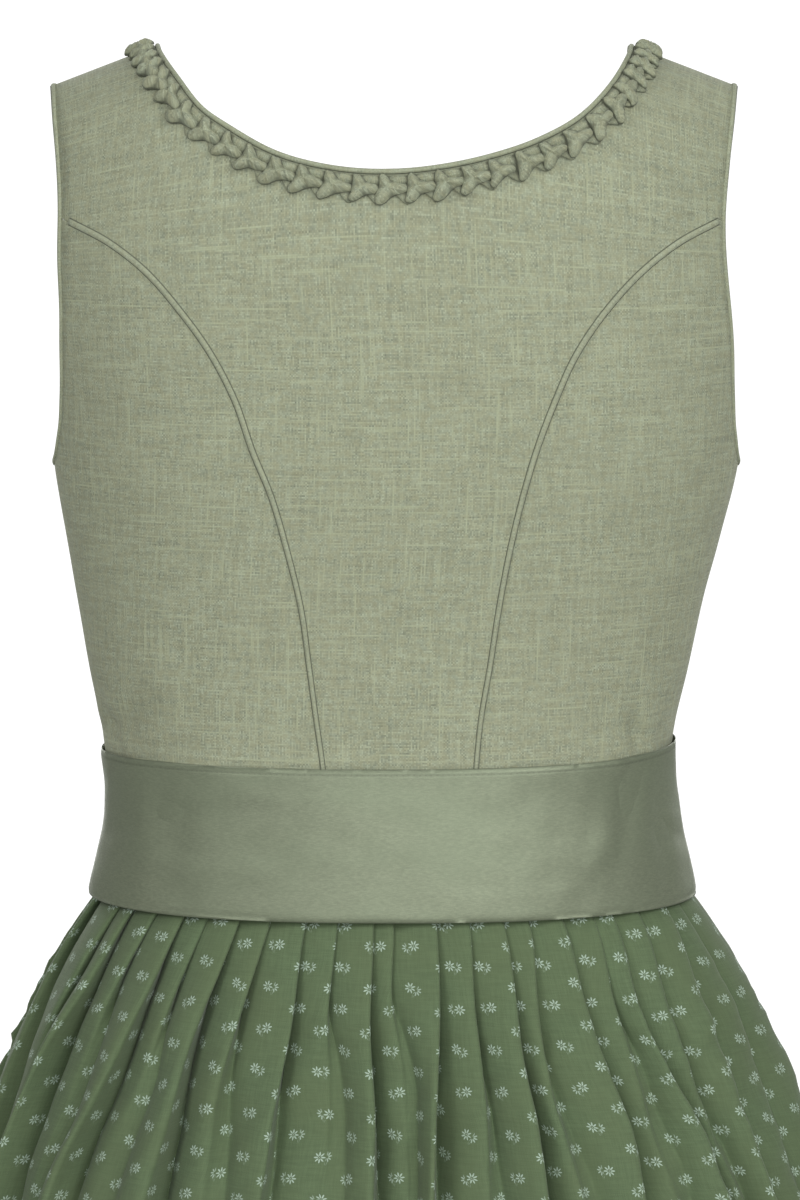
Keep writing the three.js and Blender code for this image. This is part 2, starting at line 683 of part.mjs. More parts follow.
// Piping of the princess seams, lying on the seam from the belt up to the armhole piping.
for (const front of [false, true])
  for (const side of [1, -1]) {
    const rows = front ? PRINCESS_FRONT : PRINCESS_BACK;
    const key = front ? "x" : side > 0 ? "left" : "right";
    const points = rows.map((r) => [front ? side * r.x : r[key], r.z]);
    const line = evenly(points, 120).filter(([, z]) => z > BELT_TOP + 1);
    const tail = line.filter(([x]) => Math.abs(x) < Math.abs(points[0][0]) - 3.4);
    const path = evenly(tail, 13).map(([x, z]) => place(x, z, front));
    const lift = (front ? 2 : 1.4) * LIFT; // over the hollow beside the bust
    const cord = [
      [-1.7, lift],
      [1.7, lift],
      [1.1, lift + 1.1],
      [-1.1, lift + 1.1],
    ];
    add(
      sweep(
        (front ? "front" : "back") + "_princess_piping_" + (side > 0 ? "left" : "right"),
        TRIM,
        stripSections(path, 1, cord, false),
        false,
      ),
    );
  }

// Button band down the centre front, from under the ruche to the belt, and its buttons.
const BAND_HALF = 11;
const bandTop = place(0, NECK_FRONT[NECK_FRONT.length - 1].z - RUCHE.outer - 1.2, true)[1];
const bandFoot = wayOf(BELT_TOP + 0.8);
const BAND_LIFT = 0.9; // it bridges the dip between the two fronts
const BAND_OUT = BAND_LIFT + 1.3;
{
  const rows = 8;
  const cells = Array.from({ length: rows + 1 }, (_, r) =>
    [-1, -0.5, 0, 0.5, 1].map((k) => {
      const g = bandFoot + ((bandTop - bandFoot) * r) / rows;
      const start = frameAt(180, g);
      const q = start.p.clone().add(new THREE.Vector3(k * BAND_HALF, 0, 0));
      return nearest(q, 180 - k * 3, g);
    }),
  );
  const at = (lift) => cells.map((row) => row.map((f) => f.p.clone().addScaledVector(f.n, lift)));
  add(wall("button_band", LINEN, at(BAND_OUT), at(BAND_LIFT)));
}
const buttonProfile = [
  [0, 0],
  [BUTTON.radius - 0.7, 0],
  [BUTTON.radius, 0.9],
  [BUTTON.radius - 0.3, 2],
  [BUTTON.radius - 1.9, BUTTON.thick - 0.4],
  [0, BUTTON.thick],
].map(([x, y]) => new THREE.Vector2(x, y));
for (let i = 0; i < BUTTON.count; i++) {
  const f = frameAt(180, wayOf(BUTTON.top - i * BUTTON.step));
  const button = new THREE.Mesh(new THREE.LatheGeometry(buttonProfile, 8), BUTTON_METAL);
  button.name = "button_" + (i + 1);
  button.quaternion.setFromUnitVectors(new THREE.Vector3(0, 1, 0), f.n);
  button.position.copy(f.p).addScaledVector(f.n, BAND_OUT + 0.55);
  add(button);
}

// ---------------------------------------------------------------- belt
// One band laid round the waist, its end lapped flat over its start at the centre front.
{
  const steps = 46;
  const from = 170; // under end, left of the centre front, then round the back
  const to = -192; // over end, lying on the start
  const heights = [BELT_TOP, -340, BELT_FOOT];
  const cells = heights.map((h) =>
    Array.from({ length: steps + 1 }, (_, i) => {
      let a = from + ((to - from) * i) / steps;
      const lap = Math.max(0, (-a - 150) / 16); // rises onto the start before they meet
      if (a < -180) a += 360;
      return { f: frameAt(a, wayOf(h)), up: BELT_LIFT + 2.0 * Math.min(1, lap) };
    }),
  );
  const at = (extra) =>
    cells.map((row) => row.map(({ f, up }) => f.p.clone().addScaledVector(f.n, up + extra)));
  add(wall("waist_belt", SATEEN, at(BELT_WALL), at(0)));
}

// ---------------------------------------------------------------- skirt
const RING_STEPS = 240;
function ring(row) {
  // back half from the left side over the back, then the front half from the right side on
  const halves = [false, true].map((isFront) => {
    const points = Array.from({ length: RING_STEPS + 1 }, (_, i) => {
      const th = 90 - (180 * i) / RING_STEPS;
      const phi = (Math.abs(th) * Math.PI) / 180;
      const x = Math.sign(th) * row.half * Math.pow(Math.sin(phi), 2 / ROUND);
      const y = Math.max(0, Math.cos(phi)) * (isFront ? -row.front : row.back);
      return [isFront ? -x : x, y];
    });
    const along = [0];
    for (let i = 1; i < points.length; i++)
      along.push(
        along[i - 1] +
          Math.hypot(points[i][0] - points[i - 1][0], points[i][1] - points[i - 1][1]),
      );
    return { points, along, length: along[along.length - 1] };
  });
  // q from 0 to 1 round the back, 1 to 2 round the front; out is square to the ring
  return {
    length: (q) => halves[q < 1 ? 0 : 1].length,
    at: (q, out) => {
      const k = ((q % 2) + 2) % 2;
      const half = halves[k < 1 ? 0 : 1];
      const s = (k % 1) * half.length;
      let i = 0;
      while (i < RING_STEPS - 1 && half.along[i + 1] < s) i++;
      const t = (s - half.along[i]) / (half.along[i + 1] - half.along[i]);
      const [p, r] = [half.points[i], half.points[i + 1]];
      const dx = r[0] - p[0];
      const dy = r[1] - p[1];
      const l = Math.hypot(dx, dy);
      return [p[0] + dx * t + (-dy / l) * -out, p[1] + dy * t + (dx / l) * -out];
    },
  };
}
const folds = [
  ...FOLDS_BACK.map((f) => ({ ...f })),
  ...FOLDS_FRONT.map((f) => ({ ...f, at: f.at + 1, low: f.low + 1 })),
];
// The corners of the pleats between q0 and q1 on one ring, as [q, out].
function corners(row, r, q0, q1) {
  const all = [];
  const n = folds.length;
  for (let j = -1; j <= n; j++) {
    const f = folds[(j + n) % n];
    const turn = j < 0 ? -2 : j >= n ? 2 : 0;
    const share = Math.min(1, Math.max(0, (row.z + 385) / (-600 + 385)));
    const at = f.at + (f.low - f.at) * share + turn;
    const high = row.out * (1 + (f.deep - 1) * row.fade);
    const length = r.length(((at % 2) + 2) % 2);
    const tuck = row.tuck / length;
    const step = row.tuck > 0 ? 0 : -tuck * 0.35;
    const lip = Math.min(0.65, high * 0.4);
    all.push([at - step, high], [at, high - 2 * lip * (row.tuck > 0 ? 1 : 0.2)]);
    all.push([at - tuck * 0.75, -high + 2 * lip * (row.tuck > 0 ? 1 : 0.2)]);
    all.push([at - tuck, -high]);
  }
  return { all, q0, q1 };
}
function skirtPiece(name, q0, q1) {
  // the same corners are kept on every ring, so the piece is found from the fold places at the waist
  const n = folds.length;
  const first = folds.findIndex((f) => f.at > q0);
  let last = first;
  while (last < n && folds[last].at < q1) last++;
  const rows = SKIRT.map((row) => {
    const r = ring(row);
    const { all } = corners(row, r, q0, q1);
    const from = (first + 1) * 4; // one fold was put before the first
    const to = (last + 1) * 4;
    const between = (p, q, at) => {
      const t = (at - p[0]) / (q[0] - p[0]);
      return [at, p[1] + (q[1] - p[1]) * t];
    };
    const gap = SEAM / r.length(((q0 % 2) + 2) % 2);
    const start = between(all[from - 1], all[from], q0);
    const end = between(all[to - 1], all[to], q1);
    start[0] += gap;
    end[0] -= gap;
    const line = [start, ...all.slice(from, to), end];
    const flat = line.map(([q, out]) => r.at(q, out));
    // square to the line, with mitred corners
    const side = flat.map((p, i) => {
      const a = flat[Math.max(0, i - 1)];
      const b = flat[Math.min(flat.length - 1, i + 1)];
      const u = i ? [p[0] - a[0], p[1] - a[1]] : [b[0] - p[0], b[1] - p[1]];
      const v = i < flat.length - 1 ? [b[0] - p[0], b[1] - p[1]] : u;
      const lu = Math.hypot(...u);
      const lv = Math.hypot(...v);
      const nu = [-u[1] / lu, u[0] / lu];
      const nv = [-v[1] / lv, v[0] / lv];
      const m = [nu[0] + nv[0], nu[1] + nv[1]];
      const lm = Math.hypot(...m);
      const reach = Math.min(1.9, 2 / lm);
      return [(m[0] / lm) * reach, (m[1] / lm) * reach];
    });
    return (k) =>
      flat.map(
        (p, i) => new THREE.Vector3(p[0] - side[i][0] * k, p[1] - side[i][1] * k, row.z),
      );
  });
  const outer = rows.map((f) => f(SKIRT_WALL / 2));
  const inner = rows.map((f) => f(-SKIRT_WALL / 2));
  return wall(name, COTTON, outer, inner);
}
add(skirtPiece("skirt_back", 0, 1));
add(skirtPiece("skirt_front_right", 1, 1.5));
add(skirtPiece("skirt_front_left", 1.5, 2));

export default group;
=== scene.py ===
# Sleeveless dirndl dress: the looks. Lengths are in millimetres up to the moment a mesh is made.
import bpy
import math
import numpy as np
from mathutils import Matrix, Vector


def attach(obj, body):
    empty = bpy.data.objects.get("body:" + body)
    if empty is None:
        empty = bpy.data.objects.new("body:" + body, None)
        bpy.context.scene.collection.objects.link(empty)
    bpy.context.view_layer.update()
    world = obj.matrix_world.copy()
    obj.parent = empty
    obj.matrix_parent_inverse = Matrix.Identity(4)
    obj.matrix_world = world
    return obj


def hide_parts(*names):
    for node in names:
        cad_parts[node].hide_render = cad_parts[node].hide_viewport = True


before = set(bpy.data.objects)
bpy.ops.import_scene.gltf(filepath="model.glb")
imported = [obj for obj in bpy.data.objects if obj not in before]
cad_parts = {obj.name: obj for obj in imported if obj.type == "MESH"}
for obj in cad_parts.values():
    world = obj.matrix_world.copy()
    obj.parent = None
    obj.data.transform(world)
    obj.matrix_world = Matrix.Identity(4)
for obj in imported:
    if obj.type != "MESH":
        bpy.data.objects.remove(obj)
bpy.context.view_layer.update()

# ---------------------------------------------------------------- camera (made first)
PHOTO_SIZE = (800, 1200)
MM_PER_PX = 0.46
REACH = 3.0                                  # camera to the middle of the dress, metres
FOCAL_PX = REACH / (MM_PER_PX / 1000)
cam_data = bpy.data.cameras.new("camera")
cam = bpy.data.objects.new("camera", cam_data)
bpy.context.scene.collection.objects.link(cam)
cam_data.sensor_width = 36.0
cam_data.lens = 36.0 * FOCAL_PX / PHOTO_SIZE[1]
cam_data.clip_start, cam_data.clip_end = 0.05, 60
cam.location = (-0.00276, REACH, 0.0933)
pitch = math.atan((0.0933 + 0.2467) / REACH)
cam.rotation_mode = "QUATERNION"
cam.rotation_quaternion = Vector((0, -math.cos(pitch), -math.sin(pitch))).to_track_quat("-Z", "Y")
bpy.context.scene.camera = cam
bpy.context.scene.view_settings.view_transform = "Standard"

# ---------------------------------------------------------------- sizes (the CAD model's own)
SEAM, CAP, TIP_X = 0.2, 45.0, 133.0
SHOULDER_SLOPE, SLOPE_REACH = 0.4, 120.0
WAIST_SEAM, BELT_TOP, BELT_FOOT, HEM = -345.0, -314.0, -383.0, -1015.0
BUST = dict(x=76, h=-196, wide=46, high=44, out=9)
ROUND = 2.4
QUARTER = CAP * math.pi / 2
# height, half width, depth behind, depth before, sideways sway
TORSO = np.array([
    [0, 171, 84, 70, 0], [-40, 171, 88, 76, 0.5], [-80, 170, 95, 84, 1], [-117, 166, 98, 96, -1],
    [-157, 160.5, 98, 110, -1.5], [-184, 157.6, 96, 119, -1], [-217, 151, 92, 122, 0.3],
    [-242, 145.5, 89, 116, 1.6], [-277, 138.8, 86, 105, 2.4], [-314, 131.6, 85, 95, 2.6],
    [-335, 131, 87, 93, 1.4], [-353, 133.2, 89, 95, 0.6], [-383, 139.6, 92, 99, 0.6]], float)[::-1]
NECK_BACK = [(107.6, 9.6), (96.7, -3), (85, -16.3), (73.2, -24.1), (53, -35), (25.3, -41.9), (-1.9, -43.1),
             (-23.3, -40.8), (-43.8, -36.4), (-64.4, -29.5), (-82.8, -19.5), (-96.7, -6.3), (-108.2, 9.4)]
NECK_FRONT = [(107.9, 9.5), (109.5, -18), (108, -55), (102, -88), (86, -117), (58, -137), (28, -146), (0, -148)]
# height, left seam, right seam
PRINCESS_BACK = [(-67.5, 149.2, -149.2), (-77.6, 127.7, -127.9), (-89, 112.2, -112.3), (-106.5, 96.2, -95.4),
                 (-127, 81.3, -81.2), (-147, 71, -72.1), (-169, 63.4, -63.9), (-190, 54.9, -57.8),
                 (-213, 48.3, -52.4), (-240, 41.9, -47.4), (-268, 38.1, -43.2), (-292, 35, -39.2),
                 (-314, 32, -37.1), (-345, 30, -35.5)]
PRINCESS_FRONT = [(-98, 141), (-118, 118), (-146, 97), (-176, 84), (-210, 77), (-246, 68), (-284, 58), (-314, 51), (-345, 47)]
# height, angle of the back edge, angle of the front edge
ARMHOLE = [(0, 63.2, 116.8), (-14, 61.3, 119.8), (-37, 59.4, 123), (-66, 58.6, 125.6), (-96, 60.8, 126.2),
           (-125, 65, 123.6), (-150, 69.4, 118.4), (-168, 74.3, 111.5), (-179, 80.6, 102.5), (-184, 90, 90)]


# ---------------------------------------------------------------- curves
def smooth(xs, ys):
    """A smooth curve through a table, for numbers or arrays."""
    xs, ys = np.asarray(xs, float), np.asarray(ys, float)
    step = np.diff(xs)
    rise = np.diff(ys) / step
    slope = np.empty(len(xs))
    slope[0], slope[-1] = rise[0], rise[-1]
    slope[1:-1] = (rise[:-1] * step[1:] + rise[1:] * step[:-1]) / (step[1:] + step[:-1])

    def f(x):
        x = np.asarray(x, float)
        i = np.clip(np.searchsorted(xs, x, side="left") - 1, 0, len(xs) - 2)
        h = step[i]
        t = np.clip((x - xs[i]) / h, 0, 1)
        t2, t3 = t * t, t * t * t
        return ((2 * t3 - 3 * t2 + 1) * ys[i] + (t3 - 2 * t2 + t) * h * slope[i]
                + (3 * t2 - 2 * t3) * ys[i + 1] + (t3 - t2) * h * slope[i + 1])
    return f


def evenly(points, count):
    points = np.asarray(points, float)
    along = np.r_[0, np.cumsum(np.hypot(*np.diff(points, axis=0).T))]
    s = along[-1] * np.arange(count + 1) / count
    return np.stack([smooth(along, points[:, 0])(s), smooth(along, points[:, 1])(s)], -1)


def ease(lo, hi, x):
    t = np.clip((np.asarray(x, float) - lo) / (hi - lo), 0, 1)
    return t * t * (3 - 2 * t)


def wobble(x, y, seed, scale):
    """Smooth uneven field of about -1 to 1, `scale` is the size of its lumps in the units of x and y."""
    rng = np.random.default_rng(seed)
    out = np.zeros(np.broadcast(x, y).shape)
    for k in range(7):
        ang, ph = rng.uniform(0, 2 * math.pi, 2)
        f = rng.uniform(0.6, 1.5) * 2 * math.pi / scale
        out = out + np.sin(f * (np.cos(ang) * x + np.sin(ang) * y) + ph)
    return out / 3.2


# ---------------------------------------------------------------- the shape of the bodice
half_at, back_at, front_at, sway_at = (smooth(TORSO[:, 0], TORSO[:, k]) for k in (1, 2, 3, 4))


def level_of(g):
    return np.where(g < QUARTER, -CAP * (1 - np.cos(g / CAP)), -CAP - (g - QUARTER))


def way_of(h):
    h = np.asarray(h, float)
    return np.where(h > -CAP, CAP * np.arccos(np.clip(1 + h / CAP, -1, 1)), QUARTER - CAP - h)


def drop_at(x):
    return -SHOULDER_SLOPE * (np.hypot(x, 40) - math.hypot(TIP_X, 40))


def slope_share(h):
    t = np.clip(1 + h / SLOPE_REACH, 0, 1)
    return t * t * (3 - 2 * t)


def surf(a, g):
    a, g = np.broadcast_arrays(np.asarray(a, float), np.asarray(g, float))
    a = np.where(a > 180, a - 360, a)
    a = np.where(a < -180, a + 360, a)
    a = np.where(g < 0, np.sign(a) * (180 - np.abs(a)), a)
    g = np.abs(g)
    h = level_of(g)
    deep = np.where(g < QUARTER, np.sin(g / CAP), 1.0)
    side = np.where(a < 0, -1.0, 1.0)
    around = np.abs(a)
    behind = around <= 90
    phi = np.radians(np.where(behind, around, 180 - around))
    x = side * half_at(h) * np.maximum(0, np.sin(phi)) ** (2 / ROUND)
    c = np.maximum(0, np.cos(phi))
    y = np.where(behind, back_at(h) * deep * c, -front_at(h) * deep * c)
    u = (np.abs(x) - BUST["x"]) / BUST["wide"]
    v = (h - BUST["h"]) / BUST["high"]
    y = y - np.where(behind, 0, BUST["out"] * np.exp(-u * u - v * v) * c)
    return np.stack([x + sway_at(h), y, h + drop_at(x) * slope_share(h)], -1)


def unit(v):
    return v / np.maximum(1e-12, np.linalg.norm(v, axis=-1, keepdims=True))


def frame_at(a, g):
    e = 0.05
    p = surf(a, g)
    pa = (surf(a + e, g) - surf(a - e, g)) / (2 * e)
    pg = (surf(a, g + e) - surf(a, g - e)) / (2 * e)
    return p, pa, pg, unit(np.cross(pa, pg))


def nearest(q, a, g):
    a, g = np.array(a, float), np.array(g, float)
    for _ in range(6):
        p, pa, pg, _n = frame_at(a, g)
        d = q - p
        aa, ag, gg = (pa * pa).sum(-1), (pa * pg).sum(-1), (pg * pg).sum(-1)
        da, dg = (d * pa).sum(-1), (d * pg).sum(-1)
        det = aa * gg - ag * ag
        ok = np.abs(det) > 1e-9
        det = np.where(ok, det, 1)
        a = a + np.where(ok, (da * gg - dg * ag) / det, 0)
        g = g + np.where(ok, (dg * aa - da * ag) / det, 0)
    return (*frame_at(a, g), a, g)


def place(x, z, front=False):
    x, z = np.asarray(x, float), np.asarray(z, float)
    h = z.copy()
    for _ in range(60):
        h = np.minimum(0, z - drop_at(x - sway_at(h)) * slope_share(h))
    across = x - sway_at(h)
    share = np.minimum(1, np.abs(across) / half_at(h))
    phi = np.degrees(np.arcsin(share ** (ROUND / 2)))
    return np.stack([np.sign(across) * (180 - phi if front else phi), way_of(h)], -1)


def new_mesh(name, verts, faces, uvs, material, smooth_shade=True):
    """uvs: one pair per vertex, flat cloth in metres."""
    mesh = bpy.data.meshes.new(name)
    mesh.from_pydata((np.asarray(verts, float) / 1000).tolist(), [], faces)
    mesh.validate(clean_customdata=False)
    layer = mesh.uv_layers.new(name="flat")
    loops = np.zeros(len(mesh.loops), np.int32)
    mesh.loops.foreach_get("vertex_index", loops)
    layer.data.foreach_set("uv", np.asarray(uvs, np.float32)[loops].ravel())
    if smooth_shade:
        mesh.polygons.foreach_set("use_smooth", np.ones(len(mesh.polygons), bool))
    obj = bpy.data.objects.new(name, mesh)
    bpy.context.scene.collection.objects.link(obj)
    mesh.materials.append(material)
    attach(obj, "root")
    return obj


def grid_faces(rows, cols, base=0, flip=False, close=False):
    r = np.arange(rows - 1)[:, None]
    c = np.arange(cols if close else cols - 1)[None, :]
    n = (c + 1) % cols
    a, b, d, e = r * cols + c, r * cols + n, (r + 1) * cols + n, (r + 1) * cols + c
    q = np.stack([a + 0 * r, b + 0 * r, d + 0 * r, e + 0 * r], -1).reshape(-1, 4) + base
    return (q[:, ::-1] if flip else q).tolist()


def signed_volume(verts, faces):
    v = np.asarray(verts, float)
    tot = 0.0
    f = np.array([x for x in faces if len(x) == 4])
    if len(f):
        p = v[f]
        tot += np.einsum("ij,ij->i", p[:, 0], np.cross(p[:, 1], p[:, 2])).sum()
        tot += np.einsum("ij,ij->i", p[:, 0], np.cross(p[:, 2], p[:, 3])).sum()
    return tot


def shell(name, outer, inner, uv, material, edge=None):
    """A thin closed wall between two grids (rows, cols, 3). edge: how far a rounded rim stands out, mm."""
    rows, cols = outer.shape[:2]
    n = rows * cols
    verts = np.concatenate([outer.reshape(-1, 3), inner.reshape(-1, 3)])
    uvs = np.concatenate([uv.reshape(-1, 2), uv.reshape(-1, 2)])
    faces = grid_faces(rows, cols) + grid_faces(rows, cols, n, True)
    rim = ([(0, c) for c in range(cols)] + [(r, cols - 1) for r in range(1, rows)]
           + [(rows - 1, c) for c in range(cols - 2, -1, -1)] + [(r, 0) for r in range(rows - 2, 0, -1)])
    ids = np.array([r * cols + c for r, c in rim])
    # a half-round rim: one more ring of points half way between the two skins, a little outside
    mid = (verts[ids] + verts[ids + n]) / 2
    inside = np.array([(min(max(r, 1), rows - 2)) * cols + min(max(c, 1), cols - 2) for r, c in rim])
    out_dir = unit(verts[ids] - verts[inside])
    thick = np.linalg.norm(verts[ids] - verts[ids + n], axis=-1, keepdims=True)
    mid = mid + out_dir * thick * (0.35 if edge is None else edge)
    base = len(verts)
    verts = np.concatenate([verts, mid])
    uvs = np.concatenate([uvs, uvs[ids]])
    m = len(ids)
    for k in range(m):
        l = (k + 1) % m
        faces.append([int(ids[l]), int(ids[k]), base + k, base + l])
        faces.append([base + l, base + k, int(ids[k]) + n, int(ids[l]) + n])
    if signed_volume(verts, faces) < 0:
        faces = [f[::-1] for f in faces]
    return new_mesh(name, verts, faces, uvs, material)


def tube(name, sections, uv, material, closed=False):
    """A strip swept through cross-sections (n, m, 3), each a closed loop."""
    n, m = sections.shape[:2]
    verts = sections.reshape(-1, 3)
    faces = []
    last = n if closed else n - 1
    for i in range(last):
        k = (i + 1) % n
        for j in range(m):
            l = (j + 1) % m
            faces.append([i * m + j, i * m + l, k * m + l, k * m + j])
    vol_faces = list(faces)
    if not closed:
        faces.append(list(range(m))[::-1])
        faces.append([(n - 1) * m + j for j in range(m)])
    if signed_volume(verts, vol_faces) < 0:
        faces = [f[::-1] for f in faces]
    return new_mesh(name, verts, faces, uv.reshape(-1, 2), material)


# ---------------------------------------------------------------- materials
class Sock:
    """A number in a node tree, with arithmetic that adds Math nodes."""

    def __init__(self, tree, out):
        self.tree, self.out = tree, out

    def _op(self, op, *others, clamp=False):
        node = self.tree.nodes.new("ShaderNodeMath")
        node.operation = op
        node.use_clamp = clamp
        for i, v in enumerate((self, *others)):
            if isinstance(v, Sock):
                self.tree.links.new(v.out, node.inputs[i])
            else:
                node.inputs[i].default_value = float(v)
        return Sock(self.tree, node.outputs[0])

    def __add__(self, o): return self._op("ADD", o)
    __radd__ = __add__
    def __sub__(self, o): return self._op("SUBTRACT", o)
    def __rsub__(self, o): return (self * -1) + o
    def __mul__(self, o): return self._op("MULTIPLY", o)
    __rmul__ = __mul__
    def __truediv__(self, o): return self._op("DIVIDE", o)
    def sin(self): return self._op("SINE")
    def cos(self): return self._op("COSINE")
    def floor(self): return self._op("FLOOR")
    def fract(self): return self._op("FRACT")
    def abs(self): return self._op("ABSOLUTE")
    def sqrt(self): return self._op("SQRT")
    def min(self, o): return self._op("MINIMUM", o)
    def max(self, o): return self._op("MAXIMUM", o)
    def pow(self, o): return self._op("POWER", o)
    def atan2(self, o): return self._op("ARCTAN2", o)
    def less(self, o): return self._op("LESS_THAN", o)
    def more(self, o): return self._op("GREATER_THAN", o)

    def between(self, lo, hi, to_lo=0.0, to_hi=1.0):
        node = self.tree.nodes.new("ShaderNodeMapRange")
        node.interpolation_type = "SMOOTHSTEP"
        self.tree.links.new(self.out, node.inputs["Value"])
        for key, v in (("From Min", lo), ("From Max", hi), ("To Min", to_lo), ("To Max", to_hi)):
            node.inputs[key].default_value = v
        return Sock(self.tree, node.outputs["Result"])


class Mat:
    def __init__(self, name):
        self.mat = bpy.data.materials.new(name)
        self.mat.use_nodes = True
        self.tree = self.mat.node_tree
        self.tree.nodes.clear()
        self.bsdf = self.tree.nodes.new("ShaderNodeBsdfPrincipled")
        out = self.tree.nodes.new("ShaderNodeOutputMaterial")
        self.tree.links.new(self.bsdf.outputs[0], out.inputs["Surface"])
        uv = self.tree.nodes.new("ShaderNodeUVMap")
        uv.uv_map = "flat"
        split = self.tree.nodes.new("ShaderNodeSeparateXYZ")
        self.tree.links.new(uv.outputs[0], split.inputs[0])
        self.u = Sock(self.tree, split.outputs[0]) * 1000   # flat cloth, millimetres
        self.v = Sock(self.tree, split.outputs[1]) * 1000

    def set(self, **kw):
        for key, v in kw.items():
            self.bsdf.inputs[key.replace("_", " ")].default_value = v

    def vec(self, x, y, z=0.0):
        node = self.tree.nodes.new("ShaderNodeCombineXYZ")
        for i, v in enumerate((x, y, z)):
            if isinstance(v, Sock):
                self.tree.links.new(v.out, node.inputs[i])
            else:
                node.inputs[i].default_value = v
        return node.outputs[0]

    def noise(self, x, y, detail=2.0, rough=0.5, z=0.0):
        node = self.tree.nodes.new("ShaderNodeTexNoise")
        node.inputs["Scale"].default_value = 1.0
        node.inputs["Detail"].default_value = detail
        node.inputs["Roughness"].default_value = rough
        self.tree.links.new(self.vec(x, y, z), node.inputs["Vector"])
        return Sock(self.tree, node.outputs[0])

    def cell(self, x, y):
        node = self.tree.nodes.new("ShaderNodeTexWhiteNoise")
        node.noise_dimensions = "2D"
        self.tree.links.new(self.vec(x, y), node.inputs["Vector"])
        return Sock(self.tree, node.outputs[0])

    def mix(self, share, one, two):
        """Colour one to colour two; each a tuple or a colour socket."""
        node = self.tree.nodes.new("ShaderNodeMix")
        node.data_type = "RGBA"
        node.clamp_factor = True
        if isinstance(share, Sock):
            self.tree.links.new(share.out, node.inputs["Factor"])
        else:
            node.inputs["Factor"].default_value = share
        for key, c in (("A", one), ("B", two)):
            sock = [s for s in node.inputs if s.name == key and s.type == "RGBA"][0]
            if isinstance(c, tuple):
                sock.default_value = (*c, 1)
            else:
                self.tree.links.new(c, sock)
        return [s for s in node.outputs if s.type == "RGBA"][0]

    def colour(self, out):
        self.tree.links.new(out, self.bsdf.inputs["Base Color"])

    def rough(self, s):
        self.tree.links.new(s.out, self.bsdf.inputs["Roughness"])

    def bump(self, height, strength, distance):
        node = self.tree.nodes.new("ShaderNodeBump")
        node.inputs["Strength"].default_value = strength
        node.inputs["Distance"].default_value = distance
        self.tree.links.new(height.out, node.inputs["Height"])
        self.tree.links.new(node.outputs[0], self.bsdf.inputs["Normal"])


def lin(r, g, b):
    """sRGB 0-255 to linear."""
    return tuple(((c / 255 + 0.055) / 1.055) ** 2.4 if c > 10 else c / 255 / 12.92 for c in (r, g, b))


def times(c, k):
    return tuple(x * k for x in c)


def linen(name, base, slub_share=1.0, shade_and_line_marks=None, shade=None):
    m = Mat(name)
    u, v = m.u, m.v
    # plain weave: each thread has its own tone that changes slowly along it; warp runs along v, weft along u
    T = 0.74
    iu, iv = (u / T).floor(), (v / T).floor()
    fu, fv = (u / T).fract() - 0.5, (v / T).fract() - 0.5
    over = ((iu + iv) * 0.5).fract() * 2
    warp = m.noise(iu * 7.31, v * 0.05, 2.0, 0.6)
    weft = m.noise(u * 0.05, iv * 7.31, 2.0, 0.6, 7.3)
    tone = over * warp + (over * -1 + 1) * weft
    swell = over * (fu * fu * -3.4 + 1) + (over * -1 + 1) * (fv * fv * -3.4 + 1)
    slub_w = m.noise(iu * 3.17, v * 0.03, 0.0, 0.5, 3.1).between(0.64, 0.80)
    slub_h = m.noise(u * 0.03, iv * 3.17, 0.0, 0.5, 11.7).between(0.64, 0.80)
    bands = m.noise(u * 0.16, v * 0.012, 1.0, 0.5, 21.0) * 0.5 + m.noise(u * 0.012, v * 0.16, 1.0, 0.5, 23.0) * 0.5
    tint = m.noise(u * 0.30, v * 0.30, 2.0, 0.6, 5.0)
    patch = m.noise(u * 0.02, v * 0.02, 1.0, 0.5, 15.0)
    bead = m.cell(iu, iv)
    c = m.mix((tone.between(0.30, 0.70) * 0.58 + bead * 0.42), times(base, 0.50), times(base, 1.58))
    c = m.mix(bands.between(0.40, 0.62) * 0.22, c, times(base, 1.26))
    c = m.mix(tint.between(0.30, 0.70) * 0.46, m.mix(0.16, c, (base[0] * 0.90, base[1] * 1.0, base[2] * 1.12)),
              (base[0] * 1.10, base[1] * 0.97, base[2] * 0.80))
    c = m.mix(patch.between(0.35, 0.65) * 0.14, c, (base[0] * 0.98, base[1] * 0.92, base[2] * 0.86))
    c = m.mix((slub_w * 0.55 * slub_share).max(slub_h * 0.50 * slub_share), c,
              times((base[0] * 1.14, base[1] * 1.13, base[2] * 1.06), 1.22))
    # painted shade: each thread darker towards its edges, where its roundness turns away from the light
    c = m.mix(swell.between(0.15, 0.75, 0.30, 0.0), c, times(base, 0.55))
    # shade_and_line_marks adds painted shade in the ruche hollows, and painted shade with stitch lines at the piping
    # edges
    if shade_and_line_marks is not None:
        c = shade_and_line_marks(m, c, base)
    m.colour(c)
    m.bump(swell * 0.55 + tone * 0.5 + slub_w * 0.3 + slub_h * 0.3, 0.30, 0.0004)
    m.set(Roughness=0.9, Specular_IOR_Level=0.2, Sheen_Weight=0.08, Sheen_Roughness=0.45)
    return m.mat


BELT_METAL = 0.5
BELT_BASE = times(lin(149, 158, 133), 0.765)
LINEN_BASE = times(lin(166, 173, 148), 0.755)
TRIM_BASE = times(lin(166, 173, 148), 0.755)
linen_mat = linen("linen", LINEN_BASE)


def painted_hollow_shade(m, c, base):
    # painted shade: the second UV map holds how deep a place lies between the puffs, 0 open, 1 in the hollow; the
    # colour is darkened there as shade would fall
    node = m.tree.nodes.new("ShaderNodeUVMap")
    node.uv_map = "strip"
    split = m.tree.nodes.new("ShaderNodeSeparateXYZ")
    m.tree.links.new(node.outputs[0], split.inputs[0])
    deep = Sock(m.tree, split.outputs[0])
    return m.mix(deep.between(0.15, 1.0) * 0.86, c, times(base, 0.30))


ruche_mat = linen("linen_ruche", times(TRIM_BASE, 0.97), 0.4, painted_hollow_shade)


